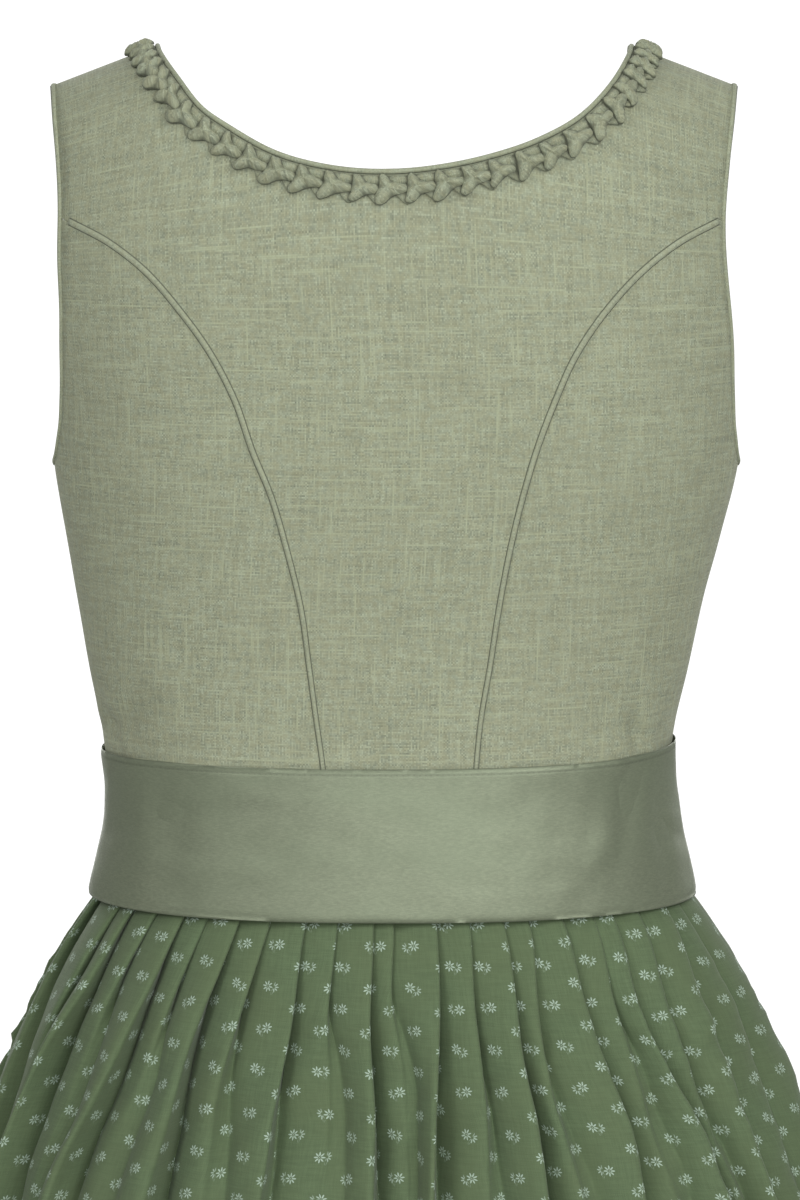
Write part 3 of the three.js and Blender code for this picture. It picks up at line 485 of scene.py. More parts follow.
def seam_shade_and_stitch_lines(m, c, base):
    # across the strip u runs from -1 (one edge) to 1 (the other), kept in a second UV map; the edges are darkened,
    # partly as painted shade where the piping meets the panel and partly as a darker stitch line
    node = m.tree.nodes.new("ShaderNodeUVMap")
    node.uv_map = "strip"
    split = m.tree.nodes.new("ShaderNodeSeparateXYZ")
    m.tree.links.new(node.outputs[0], split.inputs[0])
    across = Sock(m.tree, split.outputs[0]).abs()
    return m.mix(across.between(0.76, 0.88) * 0.76, m.mix(0.30, c, times(base, 1.15)), times(base, 0.25))


piping_mat = linen("linen_piping", times(TRIM_BASE, 1.0), 0.6, seam_shade_and_stitch_lines)


def sateen():
    m = Mat("belt_sateen")
    base = BELT_BASE
    u, v = m.u, m.v
    T = 0.42
    iv = (v / T).floor()
    thread = m.noise(u * 0.35, iv * 5.77, 2.0, 0.6)
    fv = (v / T).fract() - 0.5
    fine = m.noise(u * 1.7, v * 1.9, 2.0, 0.65, 4.0)
    broad = m.noise(u * 0.02, v * 0.03, 2.0, 0.5, 9.0)
    c = m.mix(thread.between(0.28, 0.72), times(base, 0.86), times(base, 1.15))
    c = m.mix(fine.between(0.30, 0.70) * 0.45, c, times(base, 0.86))
    c = m.mix(broad.between(0.35, 0.65) * 0.25, c, (base[0] * 0.94, base[1] * 1.0, base[2] * 0.96))
    # line of stitches a little below the upper edge; the groove is darkened as painted shade and the stitches as darker
    # thread
    edge = (v - 31.9).abs()
    stitch = edge.between(0.22, 0.5, 1.0, 0.0) * ((u / 2.6).fract() - 0.5).abs().between(0.12, 0.2, 1.0, 0.0)
    groove = edge.between(0.15, 0.9, 1.0, 0.0)
    c = m.mix(groove * 0.34 + stitch * 0.16, c, times(base, 0.5))
    # painted shade: the band darker along its rolled long edges
    rim = v.abs().between(33.7, 34.5)
    c = m.mix(rim * 0.4, c, times(base, 0.5))
    m.colour(c)
    m.rough(fine.between(0.3, 0.7, 0.46, 0.52))
    m.bump(thread * 0.5 + fine * 0.35 + fv * fv * -1.2 - groove * 1.2 + stitch * 0.6, 0.25, 0.0003)
    m.set(Metallic=BELT_METAL, Specular_IOR_Level=0.35)
    return m.mat


def printed_cotton():
    m = Mat("printed_cotton")
    ground = times(lin(102, 121, 88), 0.76)
    ink = times(lin(196, 218, 200), 0.86)
    u, v = m.u, m.v
    T = 0.40
    iu, iv = (u / T).floor(), (v / T).floor()
    over = ((iu + iv) * 0.5).fract() * 2
    warp = m.noise(iu * 7.31, v * 0.08, 2.0, 0.6)
    weft = m.noise(u * 0.08, iv * 7.31, 2.0, 0.6, 6.0)
    tone = over * warp + (over * -1 + 1) * weft
    weave = (u * 15.7).sin() * (v * 15.7).sin()
    cloud = m.noise(u * 0.03, v * 0.03, 2.0, 0.5, 4.0)
    c = m.mix(tone.between(0.30, 0.70), times(ground, 0.84), times(ground, 1.17))
    c = m.mix(cloud.between(0.3, 0.7) * 0.4, c, (ground[0] * 1.05, ground[1] * 0.96, ground[2] * 0.92))
    # half-drop lattice of a spray: a whole daisy, half a daisy beside it and three short stems
    P, R = 14.2, 19.6
    col = (u / P).floor()
    odd = (col * 0.5).fract() * 2
    vv = v + odd * (R / 2)
    row = (vv / R).floor()
    x0 = u - (col + 0.5) * P
    y0 = vv - (row + 0.5) * R
    flip = ((col + row * 1.0 + odd * 0.0) * 0.5).fract().more(0.25) * 2 - 1
    turn = (m.cell(col, row) - 0.5) * 0.55
    x0 = x0 * flip + (m.cell(col + 31.0, row) - 0.5) * 0.8
    y0 = y0 + (m.cell(col, row + 17.0) - 0.5) * 0.8
    cs, sn = turn.cos(), turn.sin()
    x = x0 * cs - y0 * sn
    y = x0 * sn + y0 * cs

    def petals(px, py, n, at, long, wide, phase=0.0):
        th = py.atan2(px) + phase
        r = (px * px + py * py).sqrt()
        k = th * (n / (2 * math.pi))
        off = (k - (k + 0.5).floor()) * (2 * math.pi / n)
        dx = (r * off.cos() - at) / long
        dy = (r * off.sin()) / wide
        return (dx * dx + dy * dy).between(0.55, 1.25, 1.0, 0.0)

    whole = petals(x + 1.35, y - 0.35, 8, 1.62, 1.05, 0.36, 0.25)
    hx, hy = x - 1.75, y + 0.15
    fan = petals(hx, hy, 9, 1.6, 1.0, 0.34, 0.1) * (hx * 0.92 - hy * 0.38).between(-0.55, 0.1)
    dot = (((x + 1.35) * (x + 1.35) + (y - 0.35) * (y - 0.35)).sqrt()).between(0.18, 0.40, 1.0, 0.0)

    def stroke(cx, cy, ang, long, wide):
        a, b = math.cos(ang), math.sin(ang)
        px, py = x - cx, y - cy
        p = (px * a + py * b) / long
        q = (py * a - px * b) / wide
        return (p * p + q * q).between(0.5, 1.4, 1.0, 0.0)
    stems = stroke(1.3, -2.9, 1.2, 0.8, 0.16).max(stroke(0.5, -3.1, 1.75, 0.8, 0.16))
    worn = m.noise(u * 1.9, v * 1.9, 2.0, 0.65, 8.0).between(0.25, 0.6, 0.5, 1.0)
    motif = (whole.max(fan * 0.85).max(dot * 0.6) * 0.80).max(stems * 0.22) * worn
    # a thin darker line round the petals
    halo = petals(x + 1.35, y - 0.35, 8, 1.55, 1.30, 0.62, 0.25).max(petals(hx, hy, 9, 1.55, 1.2, 0.56, 0.1) * (hx * 0.92 - hy * 0.38).between(-0.55, 0.1))
    c = m.mix(halo * 0.30, c, times(ground, 0.62))
    c = m.mix(motif.min(1.0), c, ink)
    m.colour(c)
    m.bump(tone * 0.8 + weave * 0.2 + motif * 0.2, 0.22, 0.0003)
    m.set(Roughness=0.86, Specular_IOR_Level=0.25, Sheen_Weight=0.10, Sheen_Roughness=0.5)
    return m.mat


sateen_mat = sateen()
cotton_mat = printed_cotton()


def metal():
    m = Mat("button_pewter")
    geo = m.tree.nodes.new("ShaderNodeTexCoord")
    n = m.tree.nodes.new("ShaderNodeTexNoise")
    n.inputs["Scale"].default_value = 900
    m.tree.links.new(geo.outputs["Object"], n.inputs["Vector"])
    s = Sock(m.tree, n.outputs[0])
    m.colour(m.mix(s.between(0.35, 0.65), times(lin(120, 118, 104), 1.0), lin(176, 173, 158)))
    m.rough(s.between(0.3, 0.7, 0.30, 0.46))
    m.set(Metallic=0.9)
    m.bump(s, 0.12, 0.0003)
    return m.mat


metal_mat = metal()

# ---------------------------------------------------------------- bodice panels
SEAM_ROWS, ARM_ROWS, FOOT_COLS, SIDE_COLS = 72, 84, 20, 40
PANEL_WALL = 1.0
arm_back = np.array([(r[1], float(way_of(r[0]))) for r in ARMHOLE])
arm_front = np.array([(r[2], float(way_of(r[0]))) for r in ARMHOLE])
waist_way = float(way_of(WAIST_SEAM))


def straight(p, q, n):
    t = np.arange(n + 1)[:, None] / n
    return np.asarray(p, float) * (1 - t) + np.asarray(q, float) * t


def mirrored(edge, side):
    e = np.array(edge, float)
    e[:, 0] *= side
    return e


def arm_part(edge, g0, below, count):
    fine = evenly(edge, 200)
    at = int(np.argmax(fine[:, 1] >= g0))
    p, q = fine[at - 1], fine[at]
    t = (g0 - p[1]) / (q[1] - p[1])
    cut = np.array([[p[0] + (q[0] - p[0]) * t, g0]])
    kept = fine[fine[:, 1] > g0] if below else fine[fine[:, 1] < g0]
    return evenly(np.concatenate([cut, kept] if below else [kept, cut]), count)


def princess(side, front, rows=SEAM_ROWS):
    table = PRINCESS_FRONT if front else PRINCESS_BACK
    pts = [(side * r[1] if front else (r[1] if side > 0 else r[2]), r[0]) for r in reversed(table)]
    return evenly(pts, rows)


def shifted(points, by):
    d = np.empty_like(points)
    d[1:-1] = points[2:] - points[:-2]
    d[0], d[-1] = points[1] - points[0], points[-1] - points[-2]
    l = np.hypot(d[:, 0], d[:, 1])
    return np.stack([points[:, 0] + by * d[:, 1] / l, points[:, 1] - by * d[:, 0] / l], -1)


def patch(left, right, bottom, top):
    rows, cols = len(left), len(bottom)
    s = np.linspace(0, 1, cols)[None, :, None]
    t = np.linspace(0, 1, rows)[:, None, None]
    across = left[:, None] * (1 - s) + right[:, None] * s
    up = bottom[None] * (1 - t) + top[None] * t
    low = bottom[0] * (1 - s) + bottom[-1] * s
    high = top[0] * (1 - s) + top[-1] * s
    return across + up - (low * (1 - t) + high * t)


def back_patch(left, right, bottom, top):
    """Columns run straight from bottom to top; the bow of each side edge is taken up close to it."""
    rows, cols = len(left), len(bottom)
    s = np.linspace(0, 1, cols)[None, :, None]
    t = np.linspace(0, 1, rows)[:, None, None]
    bow_l = left[:, None] - (left[0] * (1 - t) + left[-1] * t)
    bow_r = right[:, None] - (right[0] * (1 - t) + right[-1] * t)
    return bottom[None] * (1 - t) + top[None] * t + bow_l * (1 - s) ** 8 + bow_r * s ** 8


# flat width: arc length round the body from the centre line at each level
A_GRID = np.linspace(0, 180, 181)
G_GRID = np.linspace(0, 420, 85)
_p = surf(A_GRID[None, :], np.maximum(G_GRID, 0.5)[:, None])
ARC = np.concatenate([np.zeros((85, 1)), np.cumsum(np.linalg.norm(np.diff(_p, axis=1), axis=-1), axis=1)], axis=1)


def flat_uv(a, g, front):
    aa = np.clip(np.abs(a), 0, 180)
    i = np.clip(aa.astype(int), 0, 179)
    gi = np.clip(g / 5, 0, 83.999)
    k = gi.astype(int)
    fa, fg = aa - i, gi - k
    def val(ii, ff):
        return ((ARC[k, ii] * (1 - ff) + ARC[k, np.minimum(ii + 1, 180)] * ff) * (1 - fg)
                + (ARC[k + 1, ii] * (1 - ff) + ARC[k + 1, np.minimum(ii + 1, 180)] * ff) * fg)
    arc = val(i, fa)
    if front:
        arc = val(np.full_like(i, 179), np.ones_like(fa)) - arc
    sgn = np.sign(a) if not front else -np.sign(a)
    return np.stack([arc * sgn, -g], -1) / 1000


def relief(p, front):
    """Small unevenness of worn linen: how far the cloth stands off its mean shape, mm."""
    x, z = p[..., 0], p[..., 2]
    d = 0.32 * wobble(x, z * 0.7, 11, 95) + 0.16 * wobble(x, z, 12, 38)
    low = ease(-250, -318, z)
    d = d + low * (0.42 * wobble(x, z * 0.35, 13, 30) + 0.25 * np.sin(x / 9.0 + 1.5 * np.sin(z / 40)))
    if not front:
        # creases above the belt, near the side seams, and a small pucker left of the middle
        for cx, cz, ang, ln, wd, dp in (
                (123, -298, -0.55, 17, 3.2, -1.5), (118, -307, -0.42, 13, 2.6, 1.0), (128, -288, -0.8, 14, 3.4, 0.8),
                (-112, -303, 0.5, 15, 3.0, -1.3), (-120, -296, 0.75, 12, 2.8, 0.9), (-104, -309, 0.3, 12, 2.4, 0.7),
                (17, -309.5, 0.05, 12, 2.6, 1.9), (4, -308.5, -0.15, 9, 1.8, -1.4), (-111, -302, 1.45, 9, 1.7, -3.0),
                (-117.5, -303, 1.3, 9, 3.2, 1.6), (-103, -306, 0.9, 8, 3.0, 1.0), (130, -300, 1.1, 11, 2.2, -2.2), (124, -306, 0.9, 9, 2.6, 1.3), (150, -176, 0.9, 22, 5, -0.9),
                (-150, -176, -0.9, 22, 5, -0.9)):
            px = (x - cx) * math.cos(ang) + (z - cz) * math.sin(ang)
            pz = -(x - cx) * math.sin(ang) + (z - cz) * math.cos(ang)
            d = d + dp * np.exp(-(px / ln) ** 2 - (pz / wd) ** 2)
    else:
        for cx, cz, ang, ln, wd, dp in (
                (92, -240, 1.1, 26, 6, -0.8), (-88, -246, -1.15, 24, 6, -0.9), (60, -290, 1.35, 22, 5, 0.8),
                (-64, -285, -1.3, 26, 5, 0.7), (118, -158, 0.7, 18, 5, -0.9), (-118, -160, -0.75, 20, 5, -0.8),
                (112, -300, 0.2, 15, 3, -1.0), (-110, -304, -0.25, 14, 3, -1.1)):
            px = (x - cx) * math.cos(ang) + (z - cz) * math.sin(ang)
            pz = -(x - cx) * math.sin(ang) + (z - cz) * math.cos(ang)
            d = d + dp * np.exp(-(px / ln) ** 2 - (pz / wd) ** 2)
    return d


def seam_fade(p, front):
    table = PRINCESS_FRONT if front else PRINCESS_BACK
    far = np.full(p.shape[:-1], 1e9)
    for side in (1, -1):
        pts = [(side * r[1] if front else (r[1] if side > 0 else r[2]), r[0]) for r in table]
        for x, z in evenly(pts, 120):
            far = np.minimum(far, (p[..., 0] - x) ** 2 + (p[..., 2] - z) ** 2)
    return ease(2.6, 9.0, np.sqrt(far))


def panel(name, node, cells, front):
    du, dv = cells[1:, :-1] - cells[:-1, :-1], cells[:-1, 1:] - cells[:-1, :-1]
    area = du[..., 0] * dv[..., 1] - du[..., 1] * dv[..., 0]
    if (area > 0).any() and (area < 0).any():
        print("FOLDED", name, int((area > 0).sum()), int((area < 0).sum()))
    p, _pa, _pg, n = frame_at(cells[..., 0], cells[..., 1])
    d = relief(p, front) * seam_fade(p, front)
    # the rim stays on its line, so that seams stay closed
    rows, cols = d.shape
    r = np.minimum(np.arange(rows), np.arange(rows)[::-1])[:, None] / 4
    c = np.minimum(np.arange(cols), np.arange(cols)[::-1])[None, :] / 4
    d = d * np.clip(np.minimum(r, c), 0, 1)
    outer = p + n * d[..., None]
    inner = outer - n * PANEL_WALL
    obj = shell(name, outer, inner, flat_uv(cells[..., 0], cells[..., 1], front), linen_mat)
    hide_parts(node)
    return obj


def neck_angle(side):
    return abs(float(place(NECK_BACK[0][0] if side > 0 else NECK_BACK[-1][0], 40.0)[0]))


def along_line(line, key, column):
    """The other value of a line of [angle, way] points at this key; the keys rise or fall all the way."""
    order = np.argsort(line[:, column])
    return np.interp(key, line[order, column], line[order, 1 - column])


def build_bodice():
    # the back: columns stand on the seams and the foot and reach up to the shoulder seams and the neck
    seams, arms = {}, {}
    for side in (1, -1):
        xz = shifted(princess(side, False), -side * SEAM)
        seam = place(xz[:, 0], xz[:, 1])
        arm = arm_part(mirrored(arm_back, side), seam[-1, 1], False, ARM_ROWS)[::-1].copy()
        seam[-1] = arm[0]
        arm[-1, 1] = SEAM
        seams[side], arms[side] = seam, arm
    foot = straight(seams[1][0], seams[-1][0], FOOT_COLS)
    bottom = np.concatenate([seams[1][::-1], foot[1:-1], seams[-1]])
    # columns never cross: the seams always lean outwards going up
    for i in range(SEAM_ROWS, 0, -1):
        bottom[i - 1, 0] = max(bottom[i - 1, 0], bottom[i, 0] + 0.012)
    for i in range(SEAM_ROWS + FOOT_COLS, len(bottom) - 1):
        bottom[i + 1, 0] = min(bottom[i + 1, 0], bottom[i, 0] - 0.012)
    line = evenly(NECK_BACK, 400)
    neck = place(line[:, 0], line[:, 1])
    a = bottom[:, 0]
    top = np.empty_like(bottom)
    for side in (1, -1):
        m = a * side >= 0
        top[m, 0] = a[m] / arms[side][0, 0] * arms[side][-1, 0]
    for side in (1, -1):
        k = int(np.argmin(np.abs(top[:, 0] - side * neck_angle(side))))
        top[k, 0] = side * neck_angle(side)
    g = along_line(neck, top[:, 0], 0)
    lim = np.where(top[:, 0] < 0, neck_angle(-1), neck_angle(1))
    top[:, 1] = np.where(np.abs(top[:, 0]) >= lim - 1e-9, SEAM, np.maximum(SEAM, g))
    panel("back_center_cloth", "back_center", back_patch(arms[1], arms[-1], bottom, top), False)
    for side in (1, -1):
        word = "left" if side > 0 else "right"
        # side back
        xz = shifted(princess(side, False), side * SEAM)
        seam = place(xz[:, 0], xz[:, 1])
        arm = arm_part(mirrored(arm_back, side), seam[-1, 1], True, SIDE_COLS)
        arm[-1, 0] = side * 89.9
        seam[-1] = arm[0]
        under = straight([side * 89.9, waist_way], arm[-1], SEAM_ROWS)
        panel("back_side_" + word + "_cloth", "back_side_" + word,
              patch(seam, under, straight(seam[0], under[0], SIDE_COLS), arm), False)
        # front: rows at level ways from the seam and the armhole to the closing edge and the neck
        def seam_line(by):
            xz = evenly(shifted(princess(side, True), by), 300)
            return place(xz[:, 0], xz[:, 1], True)
        seam_in, seam_out = seam_line(-side * SEAM), seam_line(side * SEAM)
        edge = evenly(mirrored(arm_front, side), 300)
        line = evenly([(side * x, z) for x, z in NECK_FRONT], 400)
        neck = place(line[:, 0], line[:, 1], True)
        neck[0] = [side * (180 - neck_angle(side)), SEAM]
        neck_foot, meet = neck[-1, 1], seam_in[-1, 1]
        ways = np.concatenate([np.linspace(SEAM, meet, 30), np.linspace(meet, waist_way, 88),
                               [neck[int(400 * s), 1] for s in np.linspace(0.4, 0.995, 34)], [neck_foot]])
        ways = np.sort(ways)[::-1]
        keep = [ways[0]]
        for w in ways[1:]:
            if keep[-1] - w > 0.12 or w == SEAM:
                keep.append(w)
        ways = np.array(keep)
        inner = np.where(ways >= neck_foot, side * (180 - 0.16), along_line(neck, ways, 1))
        outer = np.where(ways > meet, along_line(seam_in, ways, 1), along_line(edge, ways, 1))
        cols = 62
        s = np.linspace(0, 1, cols + 1)[None, :]
        cells = np.stack([outer[:, None] * (1 - s) + inner[:, None] * s, np.broadcast_to(ways[:, None], (len(ways), cols + 1))], -1)
        panel("front_" + word + "_cloth", "front_" + word, cells, True)
        # side front
        arm = arm_part(mirrored(arm_front, side), meet + 0.3, True, SIDE_COLS)
        arm[-1, 0] = side * 90.1
        gs = ways[ways > meet + 0.4]
        seam = np.concatenate([np.stack([along_line(seam_out, gs, 1), gs], -1), arm[:1]])
        under = straight([side * 90.1, waist_way], arm[-1], len(seam) - 1)
        panel("front_side_" + word + "_cloth", "front_side_" + word,
              patch(seam, under, straight(seam[0], under[0], SIDE_COLS), arm), True)


build_bodice()


# ---------------------------------------------------------------- piping
def strip(path, inward, profile, closed):
    """profile: (m, 2) of distance from the edge and lift; gives sections (n, m, 3) and run lengths."""
    base = surf(path[:, 0], path[:, 1])
    if closed:
        t = np.roll(base, -1, 0) - np.roll(base, 1, 0)
    else:
        t = np.empty_like(base)
        t[1:-1] = base[2:] - base[:-2]
        t[0], t[-1] = base[1] - base[0], base[-1] - base[-2]
    _p, _pa, _pg, n = frame_at(path[:, 0], path[:, 1])
    m = unit(np.cross(n, unit(t))) * inward
    prof = np.broadcast_to(np.asarray(profile, float), (len(path),) + np.asarray(profile).shape[-2:]) \
        if np.asarray(profile).ndim == 2 else np.asarray(profile, float)
    q = base[:, None] + m[:, None] * prof[..., :1]
    a = np.repeat(path[:, :1], prof.shape[1], 1)
    g = np.repeat(path[:, 1:], prof.shape[1], 1)
    p, _1, _2, nn, _a, _g = nearest(q, a, g)
    run = np.r_[0, np.cumsum(np.linalg.norm(np.diff(base, axis=0), axis=-1))]
    return p + nn * prof[..., 1:], run


def second_uv(obj, per_vertex):
    mesh = obj.data
    layer = mesh.uv_layers.new(name="strip")
    loops = np.zeros(len(mesh.loops), np.int32)
    mesh.loops.foreach_get("vertex_index", loops)
    layer.data.foreach_set("uv", np.asarray(per_vertex, np.float32)[loops].ravel())


def piping(name, node, path, inward, profile, across, closed):
    sections, run = strip(path, inward, profile, closed)
    prof = np.asarray(profile, float)
    uv = np.stack([np.broadcast_to(prof[..., 0] if prof.ndim == 3 else prof[None, :, 0], sections.shape[:2]),
                   np.broadcast_to(run[:, None], sections.shape[:2])], -1) / 1000
    obj = tube(name, sections, uv, piping_mat, closed)
    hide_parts(node)
    second_uv(obj, np.stack([np.broadcast_to(np.asarray(across, float)[None], sections.shape[:2]).ravel(),
                             uv[..., 1].ravel()], -1))
    return obj


def neck_path(count):
    def half(side):
        line = evenly([(side * x, z) for x, z in NECK_FRONT], 60)
        return place(line[:, 0], line[:, 1], True)
    line = evenly(NECK_BACK, 100)
    back = place(line[:, 0], line[:, 1])
    right, left = half(-1)[::-1].copy(), half(1)
    right[0, 0], left[-1, 0] = -(180 - 0.35), 180 - 0.35
    whole = np.concatenate([right[:-1], back[::-1], left[1:]])
    pts = surf(whole[:, 0], whole[:, 1])
    along = np.r_[0, np.cumsum(np.linalg.norm(np.diff(pts, axis=0), axis=-1))]
    made = []
    for s in along[-1] * np.arange(count + 1) / count:
        k = int(np.clip(np.searchsorted(along, s, side="left") - 1, 0, len(pts) - 2))
        t = (s - along[k]) / (along[k + 1] - along[k])
        p, q = whole[k], whole[k + 1]
        if np.sign(p[0]) == np.sign(q[0]) and abs(abs(p[0]) - abs(q[0])) > 40:
            q = np.array([np.sign(q[0]) * (180 - abs(q[0])), -q[1]])
        made.append(p + (q - p) * t)
    return np.array(made), along[-1]


EDGE_PROFILE = [(0.10, -1.05), (-0.15, -0.45), (-0.15, 0.30), (0.15, 0.72), (0.75, 0.92), (1.35, 0.84), (1.75, 0.55),
                (1.95, 0.26), (2.45, 0.12), (2.45, -0.35), (1.2, -0.55)]
EDGE_ACROSS = [0.7, 0.5, 0.2, 0, 0, 0.1, 0.55, 0.95, 1, 1, 1]
path_neck, NECK_LENGTH = neck_path(520)
piping("neck_piping_cloth", "neck_piping", path_neck, 1, EDGE_PROFILE, EDGE_ACROSS, False)
for side in (1, -1):
    word = "left" if side > 0 else "right"
    back = mirrored(evenly(arm_back, 110), side)
    front = mirrored(evenly(arm_front, 110), side)[::-1]
    ring_path = np.concatenate([back[:-1], front[:-1]])
    piping("armhole_piping_" + word + "_cloth", "armhole_piping_" + word, ring_path, -side, EDGE_PROFILE, EDGE_ACROSS, True)
    for front_side in (False, True):
        table = PRINCESS_FRONT if front_side else PRINCESS_BACK
        pts = [(side * r[1] if front_side else (r[1] if side > 0 else r[2]), r[0]) for r in table]
        line = evenly(pts, 240)
        line = line[line[:, 1] > BELT_TOP - 6]
        line = line[np.abs(line[:, 0]) < abs(pts[0][0]) - 2.2]
        xz = evenly(line, 170)
        lift = 0.3 if front_side else 0.0
        cord = np.array([(-2.05, lift + 0.02), (-1.75, lift + 0.12), (-1.40, lift + 0.40), (-1.0, lift + 0.82), (0.0, lift + 0.95),
                         (1.0, lift + 0.82), (1.40, lift + 0.40), (1.75, lift + 0.12), (2.05, lift + 0.02), (1.2, lift - 0.4), (-1.2, lift - 0.4)])
        across = [-1, -0.95, -0.80, -0.45, 0, 0.45, 0.80, 0.95, 1, 0, 0]
        # the strip is a little narrower towards the waist
        cord = cord[None] * np.stack([np.interp(np.arange(171), [0, 60, 170], [0.90, 0.82, 0.62]), np.ones(171)], -1)[:, None]
        piping(("front" if front_side else "back") + "_princess_piping_" + word + "_cloth",
               ("front" if front_side else "back") + "_princess_piping_" + word,
               place(xz[:, 0], xz[:, 1], front_side), 1, cord, across, False)


# ---------------------------------------------------------------- ruche
def build_ruche():
    rng = np.random.default_rng(5)
    W = np.arange(0, 20.01, 1.0)
    steps = 460
    path, length = neck_path(steps)
    base = surf(path[:, 0], path[:, 1])
    t = np.empty_like(base)
    t[1:-1] = base[2:] - base[:-2]
    t[0], t[-1] = base[1] - base[0], base[-1] - base[-2]
    _p, _pa, _pg, n = frame_at(path[:, 0], path[:, 1])
    m = unit(np.cross(n, unit(t)))
    q = base[:, None] + m[:, None] * W[None, :, None]
    P, _1, _2, N, _a, _g = nearest(q, np.repeat(path[:, :1], len(W), 1), np.repeat(path[:, 1:], len(W), 1))

    def at(s, w, h):
        """Point s along the neck edge, w below it, h above the cloth."""
        si = np.clip(s / length * steps, 0, steps - 1e-6)
        wi = np.clip(w, 0, 19.999)
        i, j = si.astype(int), wi.astype(int)
        fs, fw = (si - i)[..., None], (wi - j)[..., None]
        def look(T):
            return ((T[i, j] * (1 - fs) + T[i + 1, j] * fs) * (1 - fw) + (T[i, j + 1] * (1 - fs) + T[i + 1, j + 1] * fs) * fw)
        return look(P) + unit(look(N)) * np.asarray(h)[..., None]

    count = int(round(length / 12.0))
    pitch = length / count
    OUTLINE = np.array([(-4.7, 2.7), (-5.0, 5.2), (-5.0, 8.2), (-5.9, 11.4), (-6.7, 14.0), (-5.2, 15.7), (-2.7, 15.0),
                        (0.1, 12.5), (3.4, 11.3), (6.4, 10.8), (7.4, 9.0), (6.4, 7.1), (3.0, 6.2), (0.2, 4.8),
                        (-1.7, 2.9), (-3.2, 2.2)])
    verts, uvs, faces, deeps = [], [], [], []
    M = 48
    RINGS = [(0.18, 1.0), (0.36, 1.0), (0.54, 1.0), (0.70, 1.0), (0.83, 1.0), (0.92, 1.0), (0.98, 1.0), (1.0, 0.0), (0.97, -1.0), (0.86, -1.0), (0.5, -1.0)]
    for k in range(count):
        s0 = (k + 0.5) * pitch + rng.uniform(-0.5, 0.5)
        pts = OUTLINE + rng.uniform(-0.42, 0.42, OUTLINE.shape)
        stretch = rng.uniform(0.93, 1.07)
        foot = rng.uniform(-0.9, 0.7)
        pts[4:7, 1] += foot
        pts[:, 0] *= stretch * pitch / 12.0
        c = np.array([-1.1, 8.2]) + rng.uniform(-0.25, 0.25, 2)
        # closed smooth curve through the outline
        loop = np.concatenate([pts[-2:], pts, pts[:3]])
        tt = np.linspace(0, len(pts), M, endpoint=False)
        i = tt.astype(int)
        f = (tt - i)[:, None]
        p0, p1, p2, p3 = (loop[i + 1 + o] for o in (0, 1, 2, 3))
        curve = 0.5 * ((2 * p1) + (-p0 + p2) * f + (2 * p0 - 5 * p1 + 4 * p2 - p3) * f ** 2 + (-p0 + 3 * p1 - 3 * p2 + p3) * f ** 3)
        high = rng.uniform(2.7, 3.6)
        base_i = len(verts)
        lay = rng.uniform(0, 2 * math.pi)
        rows = []
        for rho, face in RINGS:
            xy = c + (curve - c) * rho
            ang = np.arctan2(curve[:, 1] - c[1], curve[:, 0] - c[0])
            if face > 0:
                h = 1.30 + high * (1 - rho ** 2.6) ** 0.60
                arm = np.cos(3 * (ang - 0.09))
                h = h + (0.95 * arm - 0.15) * 4 * rho * (1 - rho) * (0.75 + 0.25 * math.sin(lay))
                h = h + 0.40 * np.sin(1.9 * xy[:, 0] + lay) * np.cos(1.5 * xy[:, 1] - lay) * (1 - rho ** 4)
                h = h + 0.16 * np.sin(4.3 * xy[:, 0] - 2.9 * xy[:, 1] + 3 * lay) * (1 - rho ** 6)
            elif face == 0:
                h = np.full(M, 1.05)
            else:
                h = np.full(M, 0.75 if rho > 0.9 else 0.5)
            h = h - 0.085 * xy[:, 0] + 0.03 * (8 - xy[:, 1])
            # painted shade: each unit darker at its rim, between its arms and on its underside, carried in the second
            # UV map
            hollow = np.clip((0.22 - np.cos(3 * (ang - 0.09)) * 0.52) * ease(0.30, 0.8, rho), 0, 1) if face > 0 else np.zeros(M)
            deeps.append(np.clip(float(ease(0.90, 1.0, rho)) * 0.85 + hollow, 0, 1) if face > 0 else np.ones(M))
            rows.append((xy, h))
        top = (np.tile(c, (1, 1)), np.array([1.35 + high - 0.085 * c[0]]))
        allxy = np.concatenate([top[0]] + [r[0] for r in rows] + [c[None]])
        allh = np.concatenate([top[1]] + [r[1] for r in rows] + [np.array([0.5])])
        deeps.append(np.ones(1))
        order = len(deeps) - 1 - len(rows)
        deeps.insert(order, np.zeros(1))
        pos = at(s0 - allxy[:, 0], allxy[:, 1], allh)
        b = sum(len(v) for v in verts)
        verts.append(pos)
        # the cloth of a unit is cut on the cross: turn the weave a little from one to the next
        tw = rng.uniform(0.5, 1.0)
        uvs.append(np.stack([(allxy[:, 0] * math.cos(tw) - allxy[:, 1] * math.sin(tw) + 40 * k),
                             (allxy[:, 0] * math.sin(tw) + allxy[:, 1] * math.cos(tw) + 1.3 * allh)], -1) / 1000)
        K = len(RINGS)
        for j in range(M):
            l = (j + 1) % M
            faces.append([b, b + 1 + l, b + 1 + j])
            for r in range(K - 1):
                o, o2 = b + 1 + r * M, b + 1 + (r + 1) * M
                faces.append([o + j, o + l, o2 + l, o2 + j])
            o = b + 1 + (K - 1) * M
            faces.append([o + j, o + l, b + 1 + K * M])
    # which way round: make the first unit's faces look away from the body
    v0 = verts[0]
    f0 = faces[0]
    nn = np.cross(v0[f0[1]] - v0[f0[0]], v0[f0[2]] - v0[f0[0]])
    mid = at(np.array([pitch / 2]), np.array([8.0]), np.array([1.0])) - at(np.array([pitch / 2]), np.array([8.0]), np.array([0.0]))
    if (nn * mid[0]).sum() < 0:
        faces = [f[::-1] for f in faces]
